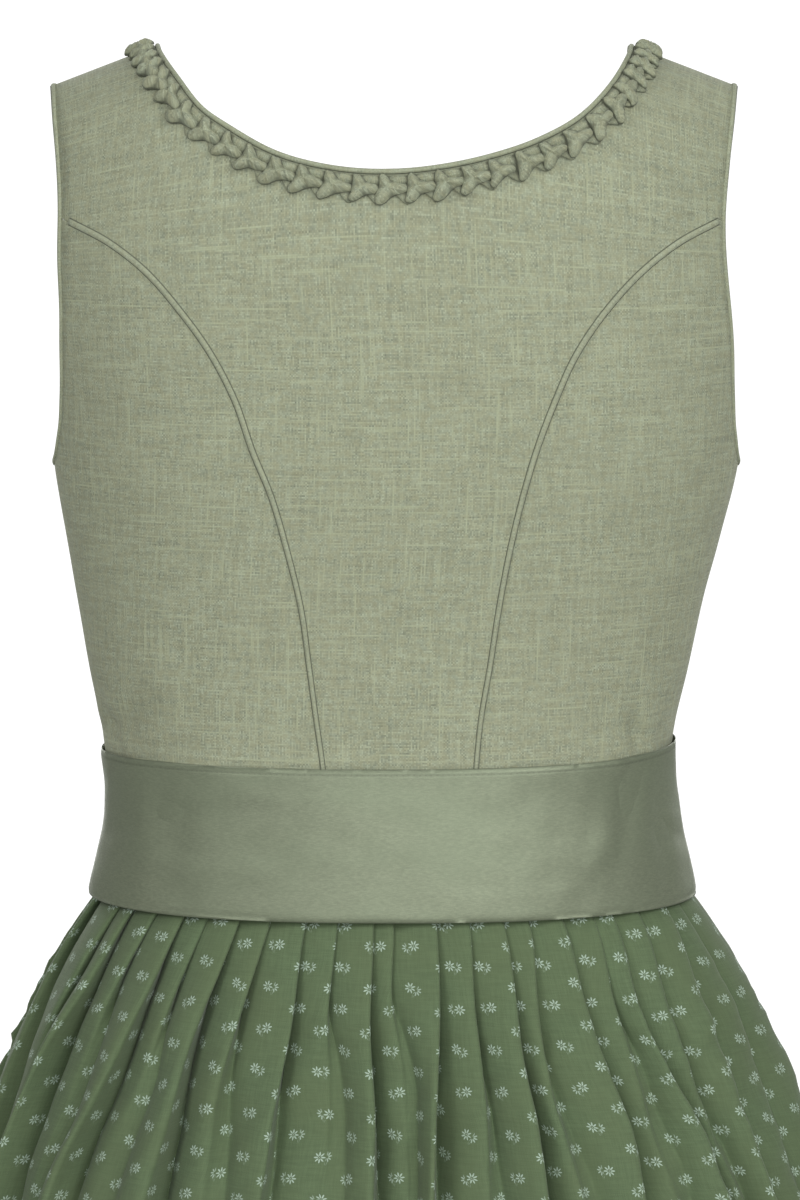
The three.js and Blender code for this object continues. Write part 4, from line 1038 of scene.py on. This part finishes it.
    # the strip under them, with its own small puffs above and scallops below
    ns = int(length / 0.92)
    nt = 24
    s = np.linspace(0, length, ns)[:, None]
    tau = np.linspace(0, 1, nt)[None, :]
    x = -(((s / pitch) % 1.0) - 0.5) * pitch
    j1 = 0.5 * wobble(s, 0 * s, 21, 60)
    w_out = 13.3 + 2.4 * np.cos(2 * math.pi * (x + 5.4) / pitch) + j1
    w = 2.3 + (w_out - 2.3) * tau
    h = 0.95 + 0 * w
    for dx in (-pitch, 0, pitch):
        e = ((x - 3.3 + dx) / 3.3) ** 2 + ((w - 4.6) / 2.5) ** 2
        h = h + 1.9 * np.exp(-e * 1.2) * (1 + 0.25 * np.sin(2.6 * (x + dx) + 1.9 * w))
        e = ((x - 4.6 + dx) / 3.0) ** 2 + ((w - 13.2) / 2.4) ** 2
        h = h + 0.75 * np.exp(-e)
    h = h + 0.16 * wobble(s, w, 22, 5.0)
    h = h * (1 - 0.45 * ease(0.93, 1.0, tau)) 
    h = np.maximum(h, 0.55) * (0.35 + 0.65 * ease(0, 0.12, tau))
    top_g = at(np.broadcast_to(s, w.shape), w, h)
    low_g = at(np.broadcast_to(s, w.shape), w - 0.25 * ease(0.8, 1, tau), np.maximum(0.05, h - 0.65))
    b = sum(len(v) for v in verts)
    g_uv = np.stack([(np.broadcast_to(s, w.shape) * 1.8), w * 1.2], -1) / 1000
    # painted shade: the strip darker where it lies low between the puffs and on its underside, a little lighter at its
    # scalloped edge
    dip = np.clip(1.15 - (h - 0.55) / 1.6, 0, 1) * (1 - 0.5 * ease(0.88, 1.0, tau))
    dip = np.where(tau < 0.06, 0.55, dip)
    deeps += [dip.ravel(), np.ones(dip.size)]
    verts += [top_g.reshape(-1, 3), low_g.reshape(-1, 3)]
    uvs += [g_uv.reshape(-1, 2), g_uv.reshape(-1, 2)]
    n2 = ns * nt
    strip_faces = grid_faces(ns, nt, b) + grid_faces(ns, nt, b + n2, True)
    for c_ in range(nt - 1):
        strip_faces.append([b + c_ + 1, b + c_, b + n2 + c_, b + n2 + c_ + 1])
        o = b + (ns - 1) * nt
        strip_faces.append([o + c_, o + c_ + 1, o + n2 + c_ + 1, o + n2 + c_])
    for r in range(ns - 1):
        strip_faces.append([b + r * nt, b + (r + 1) * nt, b + n2 + (r + 1) * nt, b + n2 + r * nt])
        e1, e2 = b + r * nt + nt - 1, b + (r + 1) * nt + nt - 1
        strip_faces.append([e2, e1, e1 + n2, e2 + n2])
    allv = np.concatenate(verts)
    f0 = strip_faces[(ns // 2) * (nt - 1) + nt // 2]
    nn = np.cross(allv[f0[1]] - allv[f0[0]], allv[f0[2]] - allv[f0[0]])
    out = at(np.array([length / 2]), np.array([8.0]), np.array([1.0])) - at(np.array([length / 2]), np.array([8.0]), np.array([0.0]))
    if (nn * out[0]).sum() < 0:
        strip_faces = [f[::-1] for f in strip_faces]
    obj = new_mesh("neck_ruche_cloth", allv, faces + strip_faces, np.concatenate(uvs), ruche_mat)
    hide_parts("neck_ruche")
    deep = np.concatenate(deeps)
    assert len(deep) == len(allv)
    second_uv(obj, np.stack([deep, 0 * deep], -1))
    return length


build_ruche()

# ---------------------------------------------------------------- button band, buttons
BAND_HALF, BAND_LIFT = 11.0, 0.9
band_top = float(place(0.0, NECK_FRONT[-1][1] - 15.6 - 1.2, True)[1])
band_foot = float(way_of(BELT_TOP + 0.8))


def build_band():
    rows, cols = 120, 21
    g = np.linspace(band_foot, band_top, rows)
    k = np.linspace(-1, 1, cols)
    p0 = surf(180.0, g)
    q = p0[:, None] + np.stack([k * BAND_HALF, 0 * k, 0 * k], -1)[None]
    p, _1, _2, n, _a, _g = nearest(q, 180 - np.broadcast_to(k, (rows, cols)) * 3, np.broadcast_to(g[:, None], (rows, cols)))
    edge = np.minimum(1, (1 - np.abs(k)) / 0.1)
    d = 0.35 * edge ** 0.5 - 0.22 * np.exp(-(((np.abs(k) - 0.84) * BAND_HALF) / 0.5) ** 2)
    d = d[None] + 0.18 * wobble(p[..., 0], p[..., 2], 31, 22)
    # the cloth dips a little round every button
    for i in range(6):
        gz = surf(180.0, float(way_of(-177 - 25 * i)))
        r = np.hypot(p[..., 0] - gz[0], p[..., 2] - gz[2])
        d = d - 0.35 * np.exp(-(r / 5.5) ** 2)
    outer = p + n * (BAND_LIFT + 0.95 + d)[..., None]
    inner = p + n * BAND_LIFT
    uv = np.stack([np.broadcast_to(k * BAND_HALF, (rows, cols)), np.broadcast_to(-g[:, None], (rows, cols))], -1) / 1000
    obj = shell("button_band_cloth", outer, inner, uv, linen_mat)
    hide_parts("button_band")


build_band()


def build_buttons():
    prof = [(0, 0.0), (4.6, 0.0), (5.15, 0.25), (5.45, 0.75), (5.5, 1.25), (5.35, 1.75), (5.0, 2.0), (4.55, 1.98), (4.3, 1.72),
            (4.05, 1.66), (3.7, 1.95), (3.0, 2.45), (2.0, 2.85), (1.0, 3.03), (0, 3.08)]
    seg = 48
    for i in range(6):
        p, _pa, _pg, n = frame_at(180.0, float(way_of(-177 - 25 * i)))
        z = n
        x = unit(np.cross(np.array([0, 0, 1.0]), z))
        y = np.cross(z, x)
        o = p + n * (0.9 + 1.3 + 0.55)
        verts, faces = [], []
        for r, h in prof:
            if r == 0:
                verts.append(o + z * h)
                continue
            for j in range(seg):
                th = 2 * math.pi * j / seg
                # a rope edge and a plain five-lobed relief on the dome
                hh = h + (0.16 * math.cos(16 * th) if 4.5 < r < 5.3 and h > 1.5 else 0)
                hh += 0.22 * math.cos(5 * th) * math.exp(-((r - 2.2) / 1.0) ** 2) if h > 1.6 else 0
                verts.append(o + (x * math.cos(th) + y * math.sin(th)) * r + z * hh)
        rings = len(prof) - 2
        for j in range(seg):
            l = (j + 1) % seg
            faces.append([0, 1 + l, 1 + j])
            for r in range(rings - 1):
                faces.append([1 + r * seg + j, 1 + r * seg + l, 1 + (r + 1) * seg + l, 1 + (r + 1) * seg + j])
            e = 1 + (rings - 1) * seg
            faces.append([e + j, e + l, 1 + rings * seg])
        verts = np.array(verts)
        obj = new_mesh("button_%d_metal" % (i + 1), verts, faces, np.zeros((len(verts), 2)), metal_mat)
        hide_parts("button_%d" % (i + 1))


build_buttons()


# ---------------------------------------------------------------- belt
def build_belt():
    steps, rows = 600, 32
    lo, hi = BELT_FOOT, BELT_TOP
    a0 = np.linspace(170, -192, steps + 1)
    t = np.linspace(0, 1, rows)
    A = np.where(a0 < -180, a0 + 360, a0)
    lap = np.clip((-a0 - 150) / 16, 0, 1)
    tilt = 3.4 * np.exp(-(((a0 + 95) / 38) ** 2)) - 0.8 * np.exp(-(((a0 - 90) / 40) ** 2))
    h = (hi + tilt)[None] + (lo - hi - tilt)[None] * t[:, None]
    p, _pa, _pg, n = frame_at(np.broadcast_to(A[None], (rows, steps + 1)), way_of(h))
    arc = np.r_[0, np.cumsum(np.linalg.norm(np.diff(p[rows // 2], axis=0), axis=-1))]
    arc = arc - np.interp(0, -a0, arc)
    x, z = p[..., 0], p[..., 2]
    along = arc[None] + 0 * z
    d = 0.30 * wobble(along * 0.5, z, 41, 60) + 0.14 * wobble(along, z, 42, 24)
    # soft long ripples of the tightened band, uneven, and a rounded fold at each long edge
    # (`along` runs towards -X behind)
    for c, zz, ang, ln, wd, dp in ((116, -334, 1.05, 22, 8, -2.2), (101, -352, 0.85, 26, 8, 1.6), (90, -368, 0.7, 20, 7, -1.0),
                                   (138, -350, 1.35, 28, 9, -1.2), (-104, -350, -1.35, 34, 12, -0.9), (-124, -345, -1.4, 30, 9, 0.5),
                                   (-118, -338, 0.12, 34, 4.5, -0.4), (-96, -360, -0.08, 30, 5, 0.35), (-150, -350, 0.2, 22, 5, -0.6), (152, -352, -0.2, 24, 5, -0.6),
                                   (260, -345, 0.1, 30, 5, 0.5), (-262, -355, -0.1, 34, 5, -0.5), (40, -372, 0.03, 40, 3.5, 0.25),
                                   (-40, -328, -0.02, 44, 3.5, 0.2)):
        px = (along - c) * math.cos(ang) + (z - zz) * math.sin(ang)
        pz = -(along - c) * math.sin(ang) + (z - zz) * math.cos(ang)
        d = d + dp * np.exp(-(px / ln) ** 2 - (pz / wd) ** 2)
    rim = np.minimum(t, 1 - t) * 69
    round_edge = (1 - np.clip(rim / 2.2, 0, 1)) ** 2
    groove = np.exp(-((rim - 2.9) / 0.55) ** 2)
    up = 0.95 + 2.0 * lap[None] + 0 * z
    outer = p + n * (up + 1.15 + d - 0.65 * round_edge[:, None] - 0.22 * groove[:, None])[..., None]
    inner = p + n * (up + 0.15 + 0.35 * round_edge[:, None])[..., None]
    uv = np.stack([along, np.broadcast_to(((0.5 - t) * 69)[:, None], along.shape)], -1) / 1000
    obj = shell("waist_belt_cloth", outer, inner, uv, sateen_mat)
    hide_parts("waist_belt")


build_belt()

# ---------------------------------------------------------------- skirt
# height, half width, depth behind, depth before of the mean ring
RINGS = np.array([
    [-346.4, 127, 82.5, 88], [-383, 135, 87.5, 94.5], [-390, 139.5, 91, 97], [-406, 149, 98, 102], [-426, 159.5, 107.5, 110],
    [-451, 171, 118, 121], [-484, 184.5, 130.5, 132.5], [-523, 199, 145, 145], [-580, 219, 163.5, 161.5], [-650, 243, 185, 181],
    [-750, 274, 214, 208], [-850, 302, 240, 233], [-950, 327, 263, 255], [-1015, 342, 277, 268]], float)[::-1]
# heights at which each fold's place is given, as shares of the way from the left side seam round the back
FOLD_Z = [-346.4, -386, -420, -445, -475, -510, -600, -1015]
# place at each of those heights, then how deep the fold is at each
BACK_FOLDS = [
    ([.026, .026, .027, .040, .050, .052, .052, .050], [1, 1, .8, .7, .7, .7, .7, .7]),
    ([.112, .112, .106, .100, .094, .092, .092, .094], [1, 1, .8, .5, .3, .2, .3, .5]),
    ([.142, .142, .137, .126, .122, .120, .124, .128], [1, 1, .9, 1, 1, 1, .8, .5]),
    ([.184, .184, .175, .172, .170, .168, .170, .175], [1, .8, .5, .15, .08, .05, .05, .2]),
    ([.228, .228, .226, .219, .210, .201, .203, .212], [1, 1, 1, 1, 1, 1, 1, 1]),
    ([.261, .261, .255, .249, .246, .242, .244, .252], [1, .7, .55, .25, .1, .05, .1, .3]),
    ([.305, .305, .300, .2936, .290, .2875, .288, .295], [1, 1, 1, 1, 1, 1, 1, .9]),
    ([.3445, .3445, .339, .338, .337, .336, .338, .342], [1, .8, .7, .5, .35, .3, .3, .3]),
    ([.390, .390, .392, .391, .390, .389, .389, .386], [1, .9, .8, .8, .75, .75, .8, 1]),
    ([.430, .430, .431, .435, .436, .437, .436, .432], [1, .8, .45, .15, .1, .05, .1, .2]),
    ([.475, .475, .4758, .477, .479, .480, .482, .478], [1, 1, 1, .95, .9, .9, .9, .9]),
    ([.501, .500, .497, .505, .508, .510, .510, .520], [1, .8, .3, .08, .05, .05, .05, .2]),
    ([.553, .553, .5485, .546, .539, .533, .532, .540], [1, 1, 1, 1, 1, 1, 1, 1]),
    ([.594, .594, .5847, .5846, .584, .584, .583, .585], [1, .9, .7, .6, .5, .4, .3, .3]),
    ([.637, .637, .631, .628, .6256, .6236, .623, .628], [1, 1, 1, 1, 1, 1, 1, 1]),
    ([.669, .669, .654, .653, .655, .657, .660, .668], [1, .9, .7, .6, .45, .35, .2, .2]),
    ([.714, .714, .7066, .707, .710, .710, .709, .710], [1, .9, .7, .7, .7, .75, .8, .9]),
    ([.757, .757, .741, .742, .746, .748, .748, .750], [1, .7, .4, .15, .08, .05, .1, .2]),
    ([.7835, .7835, .767, .770, .780, .786, .786, .784], [1, 1, .9, .9, 1, 1, 1, 1]),
    ([.825, .825, .803, .802, .806, .814, .820, .830], [1, 1, .8, .6, .4, .35, .3, .5]),
    ([.879, .879, .850, .843, .842, .845, .852, .868], [1, 1, 1, 1, 1, 1, 1, 1]),
    ([.918, .918, .915, .910, .906, .903, .905, .915], [1, .6, .5, .35, .3, .3, .3, .3]),
    ([.978, .978, .978, .976, .974, .972, .970, .968], [1, 1, .9, .9, .9, .9, .9, .9])]
# the front's folds: place at the waist, place low down, depth low down
FRONT_FOLDS = [(.034, .030, .5), (.081, .079, .9), (.127, .122, .15), (.168, .170, 1), (.217, .213, .3), (.262, .266, .8),
               (.301, .305, .15), (.350, .352, 1), (.392, .398, .4), (.440, .442, .7), (.478, .476, .2), (.531, .527, 1),
               (.574, .577, .2), (.623, .619, .8), (.664, .663, .3), (.709, .713, 1), (.757, .752, .15), (.801, .803, .8),
               (.846, .842, .3), (.893, .897, 1), (.936, .931, .2), (.979, .976, .7)]
DEPTH = smooth([-1015, -800, -600, -510, -475, -445, -420, -400, -386, -346.4][::1],
               [18.5, 16.5, 13.6, 11.8, 10.8, 9.2, 7.2, 4.9, 3.3, 3.0])
# how far the cloth goes back under a strong fold and a soft one, mm; below zero the fold stands open
TUCK_STRONG = smooth([-1015, -800, -600, -510, -475, -445, -420, -400, -386, -346.4], [-21, -17, -9, -2.5, 0.0, 2.0, 4.0, 6.0, 7.0, 7.0])
TUCK_SOFT = smooth([-1015, -800, -600, -510, -475, -445, -420, -400, -386, -346.4], [-26, -24, -17, -11, -8, -5.0, -1.5, 3.0, 6.0, 7.0])


def fold_curves():
    folds = []
    for at, deep in BACK_FOLDS:
        folds.append((smooth(FOLD_Z[::-1], at[::-1]), smooth(FOLD_Z[::-1], deep[::-1])))
    for i, (a, b, d) in enumerate(FRONT_FOLDS):
        at = [1 + a, 1 + a, 1 + a + (b - a) * .3, 1 + a + (b - a) * .6, 1 + b, 1 + b, 1 + b, 1 + b + .004 * math.sin(2.1 * i)]
        deep = [1, 1, 1 + (d - 1) * .35, 1 + (d - 1) * .7, d, d, d, min(1, d + .15)]
        folds.append((smooth(FOLD_Z[::-1], at[::-1]), smooth(FOLD_Z[::-1], deep[::-1])))
    return folds


FOLDS = fold_curves()
half_r, back_r, front_r = (smooth(RINGS[:, 0], RINGS[:, k]) for k in (1, 2, 3))


class Ring:
    def __init__(self, z):
        n = 360
        th = 90 - 180 * np.arange(n + 1) / n
        phi = np.radians(np.abs(th))
        self.pts, self.along = [], []
        for is_front in (False, True):
            x = np.sign(th) * half_r(z) * np.sin(phi) ** (2 / ROUND)
            y = np.maximum(0, np.cos(phi)) * (-front_r(z) if is_front else back_r(z))
            pts = np.stack([-x if is_front else x, y], -1)
            self.pts.append(pts)
            self.along.append(np.r_[0, np.cumsum(np.hypot(*np.diff(pts, axis=0).T))])
        self.total = self.along[0][-1] + self.along[1][-1]

    def mm(self, q):
        """Share of the way (0 to 1 back, 1 to 2 front) to millimetres along the ring."""
        q = np.asarray(q, float)
        turn = np.floor(q / 2)
        k = q - 2 * turn
        b = self.along[0][-1]
        f = self.along[1][-1]
        return turn * self.total + np.where(k < 1, k * b, b + (k - 1) * f)

    def at(self, s, out, z):
        s = np.mod(s, self.total)
        b = self.along[0][-1]
        on_back = s < b
        res = np.empty(s.shape + (2,))
        nor = np.empty(s.shape + (2,))
        for idx, mask, off in ((0, on_back, 0), (1, ~on_back, b)):
            if not mask.any():
                continue
            ss = s[mask] - off
            pts, al = self.pts[idx], self.along[idx]
            p = np.stack([np.interp(ss, al, pts[:, 0]), np.interp(ss, al, pts[:, 1])], -1)
            e = 2.0
            lo = np.stack([np.interp(ss - e, al, pts[:, 0]), np.interp(ss - e, al, pts[:, 1])], -1)
            hi = np.stack([np.interp(ss + e, al, pts[:, 0]), np.interp(ss + e, al, pts[:, 1])], -1)
            d = hi - lo
            d = d / np.maximum(1e-9, np.hypot(d[:, 0], d[:, 1]))[:, None]
            res[mask] = p
            nor[mask] = np.stack([d[:, 1], -d[:, 0]], -1)
        # the outward side
        flip = np.sign((nor * (res - np.array([0, 0]))).sum(-1))
        nor = nor * flip[..., None]
        xy = res + nor * out[..., None]
        return np.concatenate([xy, np.full(s.shape + (1,), z)], -1), nor


PER = 8          # control points per fold
SUB = 3          # samples between control points


def skirt_level(z, ring):
    """Cross-section of the whole skirt at height z: along, out for every sample, open at q=0."""
    n = len(FOLDS)
    q = np.array([f[0](z) for f in FOLDS])
    deep = np.clip(np.array([f[1](z) for f in FOLDS]), 0.03, 1.2)
    e = ring.mm(q)
    idx = np.arange(n)
    rng = np.random.default_rng(77)
    ph = rng.uniform(0, 6.28, (4, n))
    free = ease(-392, -470, z)
    e = e + free * (2.0 * np.sin(z / 31 + ph[0]) + 0.7 * np.sin(z / 13.5 + ph[3]) + 2.4 * np.sin(z / 121 + ph[1]) * ease(-480, -700, z))
    D = DEPTH(z) * (deep + free * 0.10 * np.sin(z / 60 + ph[2]))
    strong = np.clip((deep - 0.2) / 0.6, 0, 1)
    T = TUCK_STRONG(z) * strong + TUCK_SOFT(z) * (1 - strong)
    gap = np.diff(np.r_[e, e[0] + ring.total])
    T = np.maximum(T, -0.42 * gap)
    v = e - T                                        # valley after each fold
    vp = np.r_[v[-1] - ring.total, v[:-1]]            # valley before it
    Dp = np.r_[D[-1], D[:-1]]
    W = e - vp
    H = D + Dp
    rho = np.minimum(1.1 + 0.10 * D, 0.12 * W)
    lip = np.minimum(1.7, 0.7 * D)
    c = np.stack([
        np.stack([vp + 0.02 * W, -Dp], -1),
        np.stack([vp + 0.14 * W, -Dp + 0.24 * H], -1),
        np.stack([vp + 0.36 * W, -Dp + 0.60 * H], -1),
        np.stack([vp + 0.66 * W, -Dp + 0.88 * H], -1),
        np.stack([e - 1.6 * rho, D], -1),
        np.stack([e + 0.35 * rho, D - 0.15 * lip], -1),
        np.stack([e - np.where(T > 0, 0.12 * T, 0.18 * T), D - 1.25 * lip - 0.25 * D], -1),
        np.stack([e - 0.72 * T, -0.62 * D], -1)], 1)      # (n, 8, 2)
    ctrl = c.reshape(-1, 2)
    m = len(ctrl)
    # cubic B-spline round the whole ring
    ext = np.concatenate([ctrl[-1:] - [[ring.total, 0]], ctrl, ctrl[:2] + [[ring.total, 0]]])
    t = np.arange(SUB)[None, :, None] / SUB
    p0, p1, p2, p3 = (ext[k:k + m][:, None] for k in range(4))
    pts = ((1 - t) ** 3 * p0 + (3 * t ** 3 - 6 * t ** 2 + 4) * p1 + (-3 * t ** 3 + 3 * t ** 2 + 3 * t + 1) * p2 + t ** 3 * p3) / 6
    return pts.reshape(-1, 2), e, strong


def build_skirt():
    zs = np.concatenate([np.linspace(-346.4, -382, 5), np.linspace(-384, -404, 9), np.linspace(-407, -520, 33),
                         np.linspace(-530, -960, 27), [-968, -972, -974, -976, -980, -990, -1000, -1008, -1012, -1014, -1015]])
    rings = [Ring(z) for z in zs]
    levels = [skirt_level(z, r) for z, r in zip(zs, rings)]
    n = len(FOLDS)
    per = PER * SUB
    S = np.array([l[0][:, 0] for l in levels])
    O = np.array([l[0][:, 1] for l in levels])
    # gentle long unevenness of the hanging cloth
    O = O + 1.1 * ease(-420, -600, zs)[:, None] * wobble(S, zs[:, None], 51, 130) + ease(-392, -440, zs)[:, None] * (0.9 * wobble(S, zs[:, None] * 0.45, 52, 34) + 0.45 * wobble(S, zs[:, None] * 0.3, 53, 15))
    # a turned hem: the cloth is thicker there and dented at its line of stitches
    O = O - 0.5 * np.exp(-((zs + 975) / 1.2) ** 2)[:, None]
    P = np.empty(S.shape + (3,))
    NR = np.empty(S.shape + (2,))
    for k, (z, r) in enumerate(zip(zs, rings)):
        P[k], NR[k] = r.at(S[k], O[k], z)
    # flat cloth: across, each strong fold keeps its place in the cloth and hidden underlay takes the rest
    arc = np.linalg.norm(np.diff(P[..., :2], axis=1, append=P[:, :1, :2]), axis=-1)      # (levels, samples)
    crest = np.arange(n) * per + 4 * SUB + SUB // 2
    valley = (np.arange(n) * per + 7 * SUB + SUB + SUB // 2) % (n * per)
    hem_strong = levels[-1][2]
    keep = [j for j in range(n) if levels[40][2][j] > 0.55]
    U = np.zeros(S.shape)
    hem_cum = np.r_[0, np.cumsum(arc[-1])]
    start = crest[keep[0]]
    total = n * per
    place_u = {j: hem_cum[crest[j]] for j in keep}
    full = hem_cum[-1]
    for a in range(len(keep)):
        j, k = keep[a], keep[(a + 1) % len(keep)]
        i0, i1 = crest[j], crest[k] + (total if k <= j else 0)
        u0, u1 = place_u[j], place_u[k] + (full if k <= j else 0)
        iv = i0 + 4 * SUB                                          # the bottom of the valley after fold j
        ids = np.arange(i0, i1) % total
        seg = arc[:, ids]
        under = seg[:, :iv - i0].sum(1)
        rest = seg[:, iv - i0:].sum(1)
        cum = np.concatenate([np.zeros((len(zs), 1)), np.cumsum(seg[:, :iv - i0], 1)], 1)
        for o in range(iv - i0):
            U[:, (i0 + o) % total] = u0 + cum[:, o] - (full if i0 + o >= total else 0)
        back_cum = np.cumsum(seg[:, iv - i0:][:, ::-1], 1)[:, ::-1]
        for o in range(i1 - iv):
            U[:, (iv + o) % total] = u1 - back_cum[:, o] - (full if iv + o >= total else 0)
    dv = np.linalg.norm(np.diff(P, axis=0), axis=-1)
    lateral = np.abs(np.diff(U, axis=0))
    V = np.concatenate([np.zeros((1, total)), np.cumsum(dv, 0)])
    # even the down-length out between neighbours, as one cloth has it
    kern = np.ones(2 * per + 1) / (2 * per + 1)
    Vs = np.array([np.convolve(np.concatenate([row[-per:], row, row[:per]]), kern, mode="valid") for row in V])
    V = Vs
    # normals of the thin wall
    gu = np.roll(P, -1, 1) - np.roll(P, 1, 1)
    gv = np.gradient(P, axis=0)
    nrm = unit(np.cross(gu, gv))
    ref = np.concatenate([NR, np.zeros(NR.shape[:2] + (1,))], -1)
    sign = np.sign((nrm[:, crest - SUB] * ref[:, crest - SUB]).sum(-1).mean())
    nrm = nrm * sign
    wall = 0.36 + 0.42 * ease(-974, -978, zs)
    wall[-1] = 0.5
    bounds = {"skirt_back": (0.0, 1.0), "skirt_front_right": (1.0, 1.5), "skirt_front_left": (1.5, 2.0)}
    # the cut between two pieces follows a fixed sample near the side seam at the waist, hidden in a valley
    cuts = {}
    for q in (0.0, 1.0, 1.5):
        s0 = rings[0].mm(q)
        j = int(np.argmin(np.abs(np.mod(S[0][valley] - s0 + rings[0].total / 2, rings[0].total) - rings[0].total / 2)))
        cuts[q] = int(valley[j])
    cuts[2.0] = cuts[0.0] + total
    for name, (qa, qb) in bounds.items():
        ia, ib = cuts[qa], cuts[qb]
        if ib <= ia:
            ib += total
        ids = np.arange(ia, ib + 1) % total
        wrap = np.arange(ia, ib + 1) >= total
        p, nn = P[:, ids], nrm[:, ids]
        u = U[:, ids] + np.where(wrap, full, 0)[None]
        # at the end the flat place may jump by one whole turn; keep it running on
        du = np.diff(u, axis=1)
        u = u - np.concatenate([np.zeros((len(zs), 1)), np.cumsum(np.where(du > full / 2, full, np.where(du < -full / 2, -full, 0)), 1)], 1)
        trim = 0.12
        p = p.copy()
        p[:, 0] += unit(p[:, 1] - p[:, 0]) * trim
        p[:, -1] += unit(p[:, -2] - p[:, -1]) * trim
        outer = p + nn * wall[:, None, None]
        inner = p - nn * wall[:, None, None]
        uv = np.stack([-u, -V[:, ids]], -1) / 1000
        obj = shell(name + "_cloth", outer, inner, uv, cotton_mat)
        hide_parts(name)


build_skirt()


# ---------------------------------------------------------------- stage: floor, backdrop, lights
def stage_plane(name, x0, x1, y0, y1, z, material):
    mesh = bpy.data.meshes.new(name)
    mesh.from_pydata([(x0, y0, z), (x1, y0, z), (x1, y1, z), (x0, y1, z)], [], [(0, 1, 2, 3)])
    obj = bpy.data.objects.new(name, mesh)
    bpy.context.scene.collection.objects.link(obj)
    mesh.materials.append(material)
    return obj


floor_m = Mat("floor_pale")
floor_m.colour(floor_m.mix(floor_m.noise(floor_m.u, floor_m.v), (0.55, 0.55, 0.545), (0.57, 0.57, 0.565)))
floor_m.set(Roughness=0.9)
FLOOR = -1.36
stage_plane("floor", -14, 14, -3.9, 16, FLOOR, floor_m.mat)
white = bpy.data.materials.new("backdrop_white")
white.use_nodes = True
white.node_tree.nodes.clear()
em = white.node_tree.nodes.new("ShaderNodeEmission")
em.inputs["Color"].default_value = (1, 1, 1, 1)
em.inputs["Strength"].default_value = 1.15
mo = white.node_tree.nodes.new("ShaderNodeOutputMaterial")
white.node_tree.links.new(em.outputs[0], mo.inputs["Surface"])
mesh = bpy.data.meshes.new("backdrop")
mesh.from_pydata([(-4, -16, -6), (4, -16, -6), (4, -16, 3), (-4, -16, 3)], [], [(0, 3, 2, 1)])
backdrop = bpy.data.objects.new("backdrop", mesh)
bpy.context.scene.collection.objects.link(backdrop)
mesh.materials.append(white)

world = bpy.data.worlds.new("world")
bpy.context.scene.world = world
world.use_nodes = True
world.node_tree.nodes["Background"].inputs[0].default_value = (1, 1, 1, 1)
world.node_tree.nodes["Background"].inputs[1].default_value = 0.25


def softbox(name, at, aim, size, power):
    data = bpy.data.lights.new(name, "AREA")
    data.shape = "RECTANGLE"
    data.size, data.size_y = size
    data.energy = power
    obj = bpy.data.objects.new(name, data)
    obj.location = at
    obj.rotation_mode = "QUATERNION"
    obj.rotation_quaternion = (Vector(aim) - Vector(at)).to_track_quat("-Z", "Y")
    bpy.context.scene.collection.objects.link(obj)
    return obj


softbox("key_camera", (-0.50, 3.7, 0.35), (0, 0, -0.25), (2.8, 2.4), 62)
softbox("key_back_right", (-1.9, 2.2, 1.7), (0, 0, -0.2), (1.3, 1.6), 50)
softbox("key_back_left", (2.0, 2.1, 1.6), (0, 0, -0.2), (1.3, 1.6), 35)
softbox("key_front_middle", (0.2, -3.6, 0.2), (0, 0, -0.3), (2.6, 2.4), 52)
softbox("key_front_left", (1.4, -2.8, 0.9), (0, 0, -0.4), (1.4, 1.8), 26)
softbox("key_front_right", (-1.5, -2.6, 0.7), (0, 0, -0.4), (1.4, 1.8), 30)
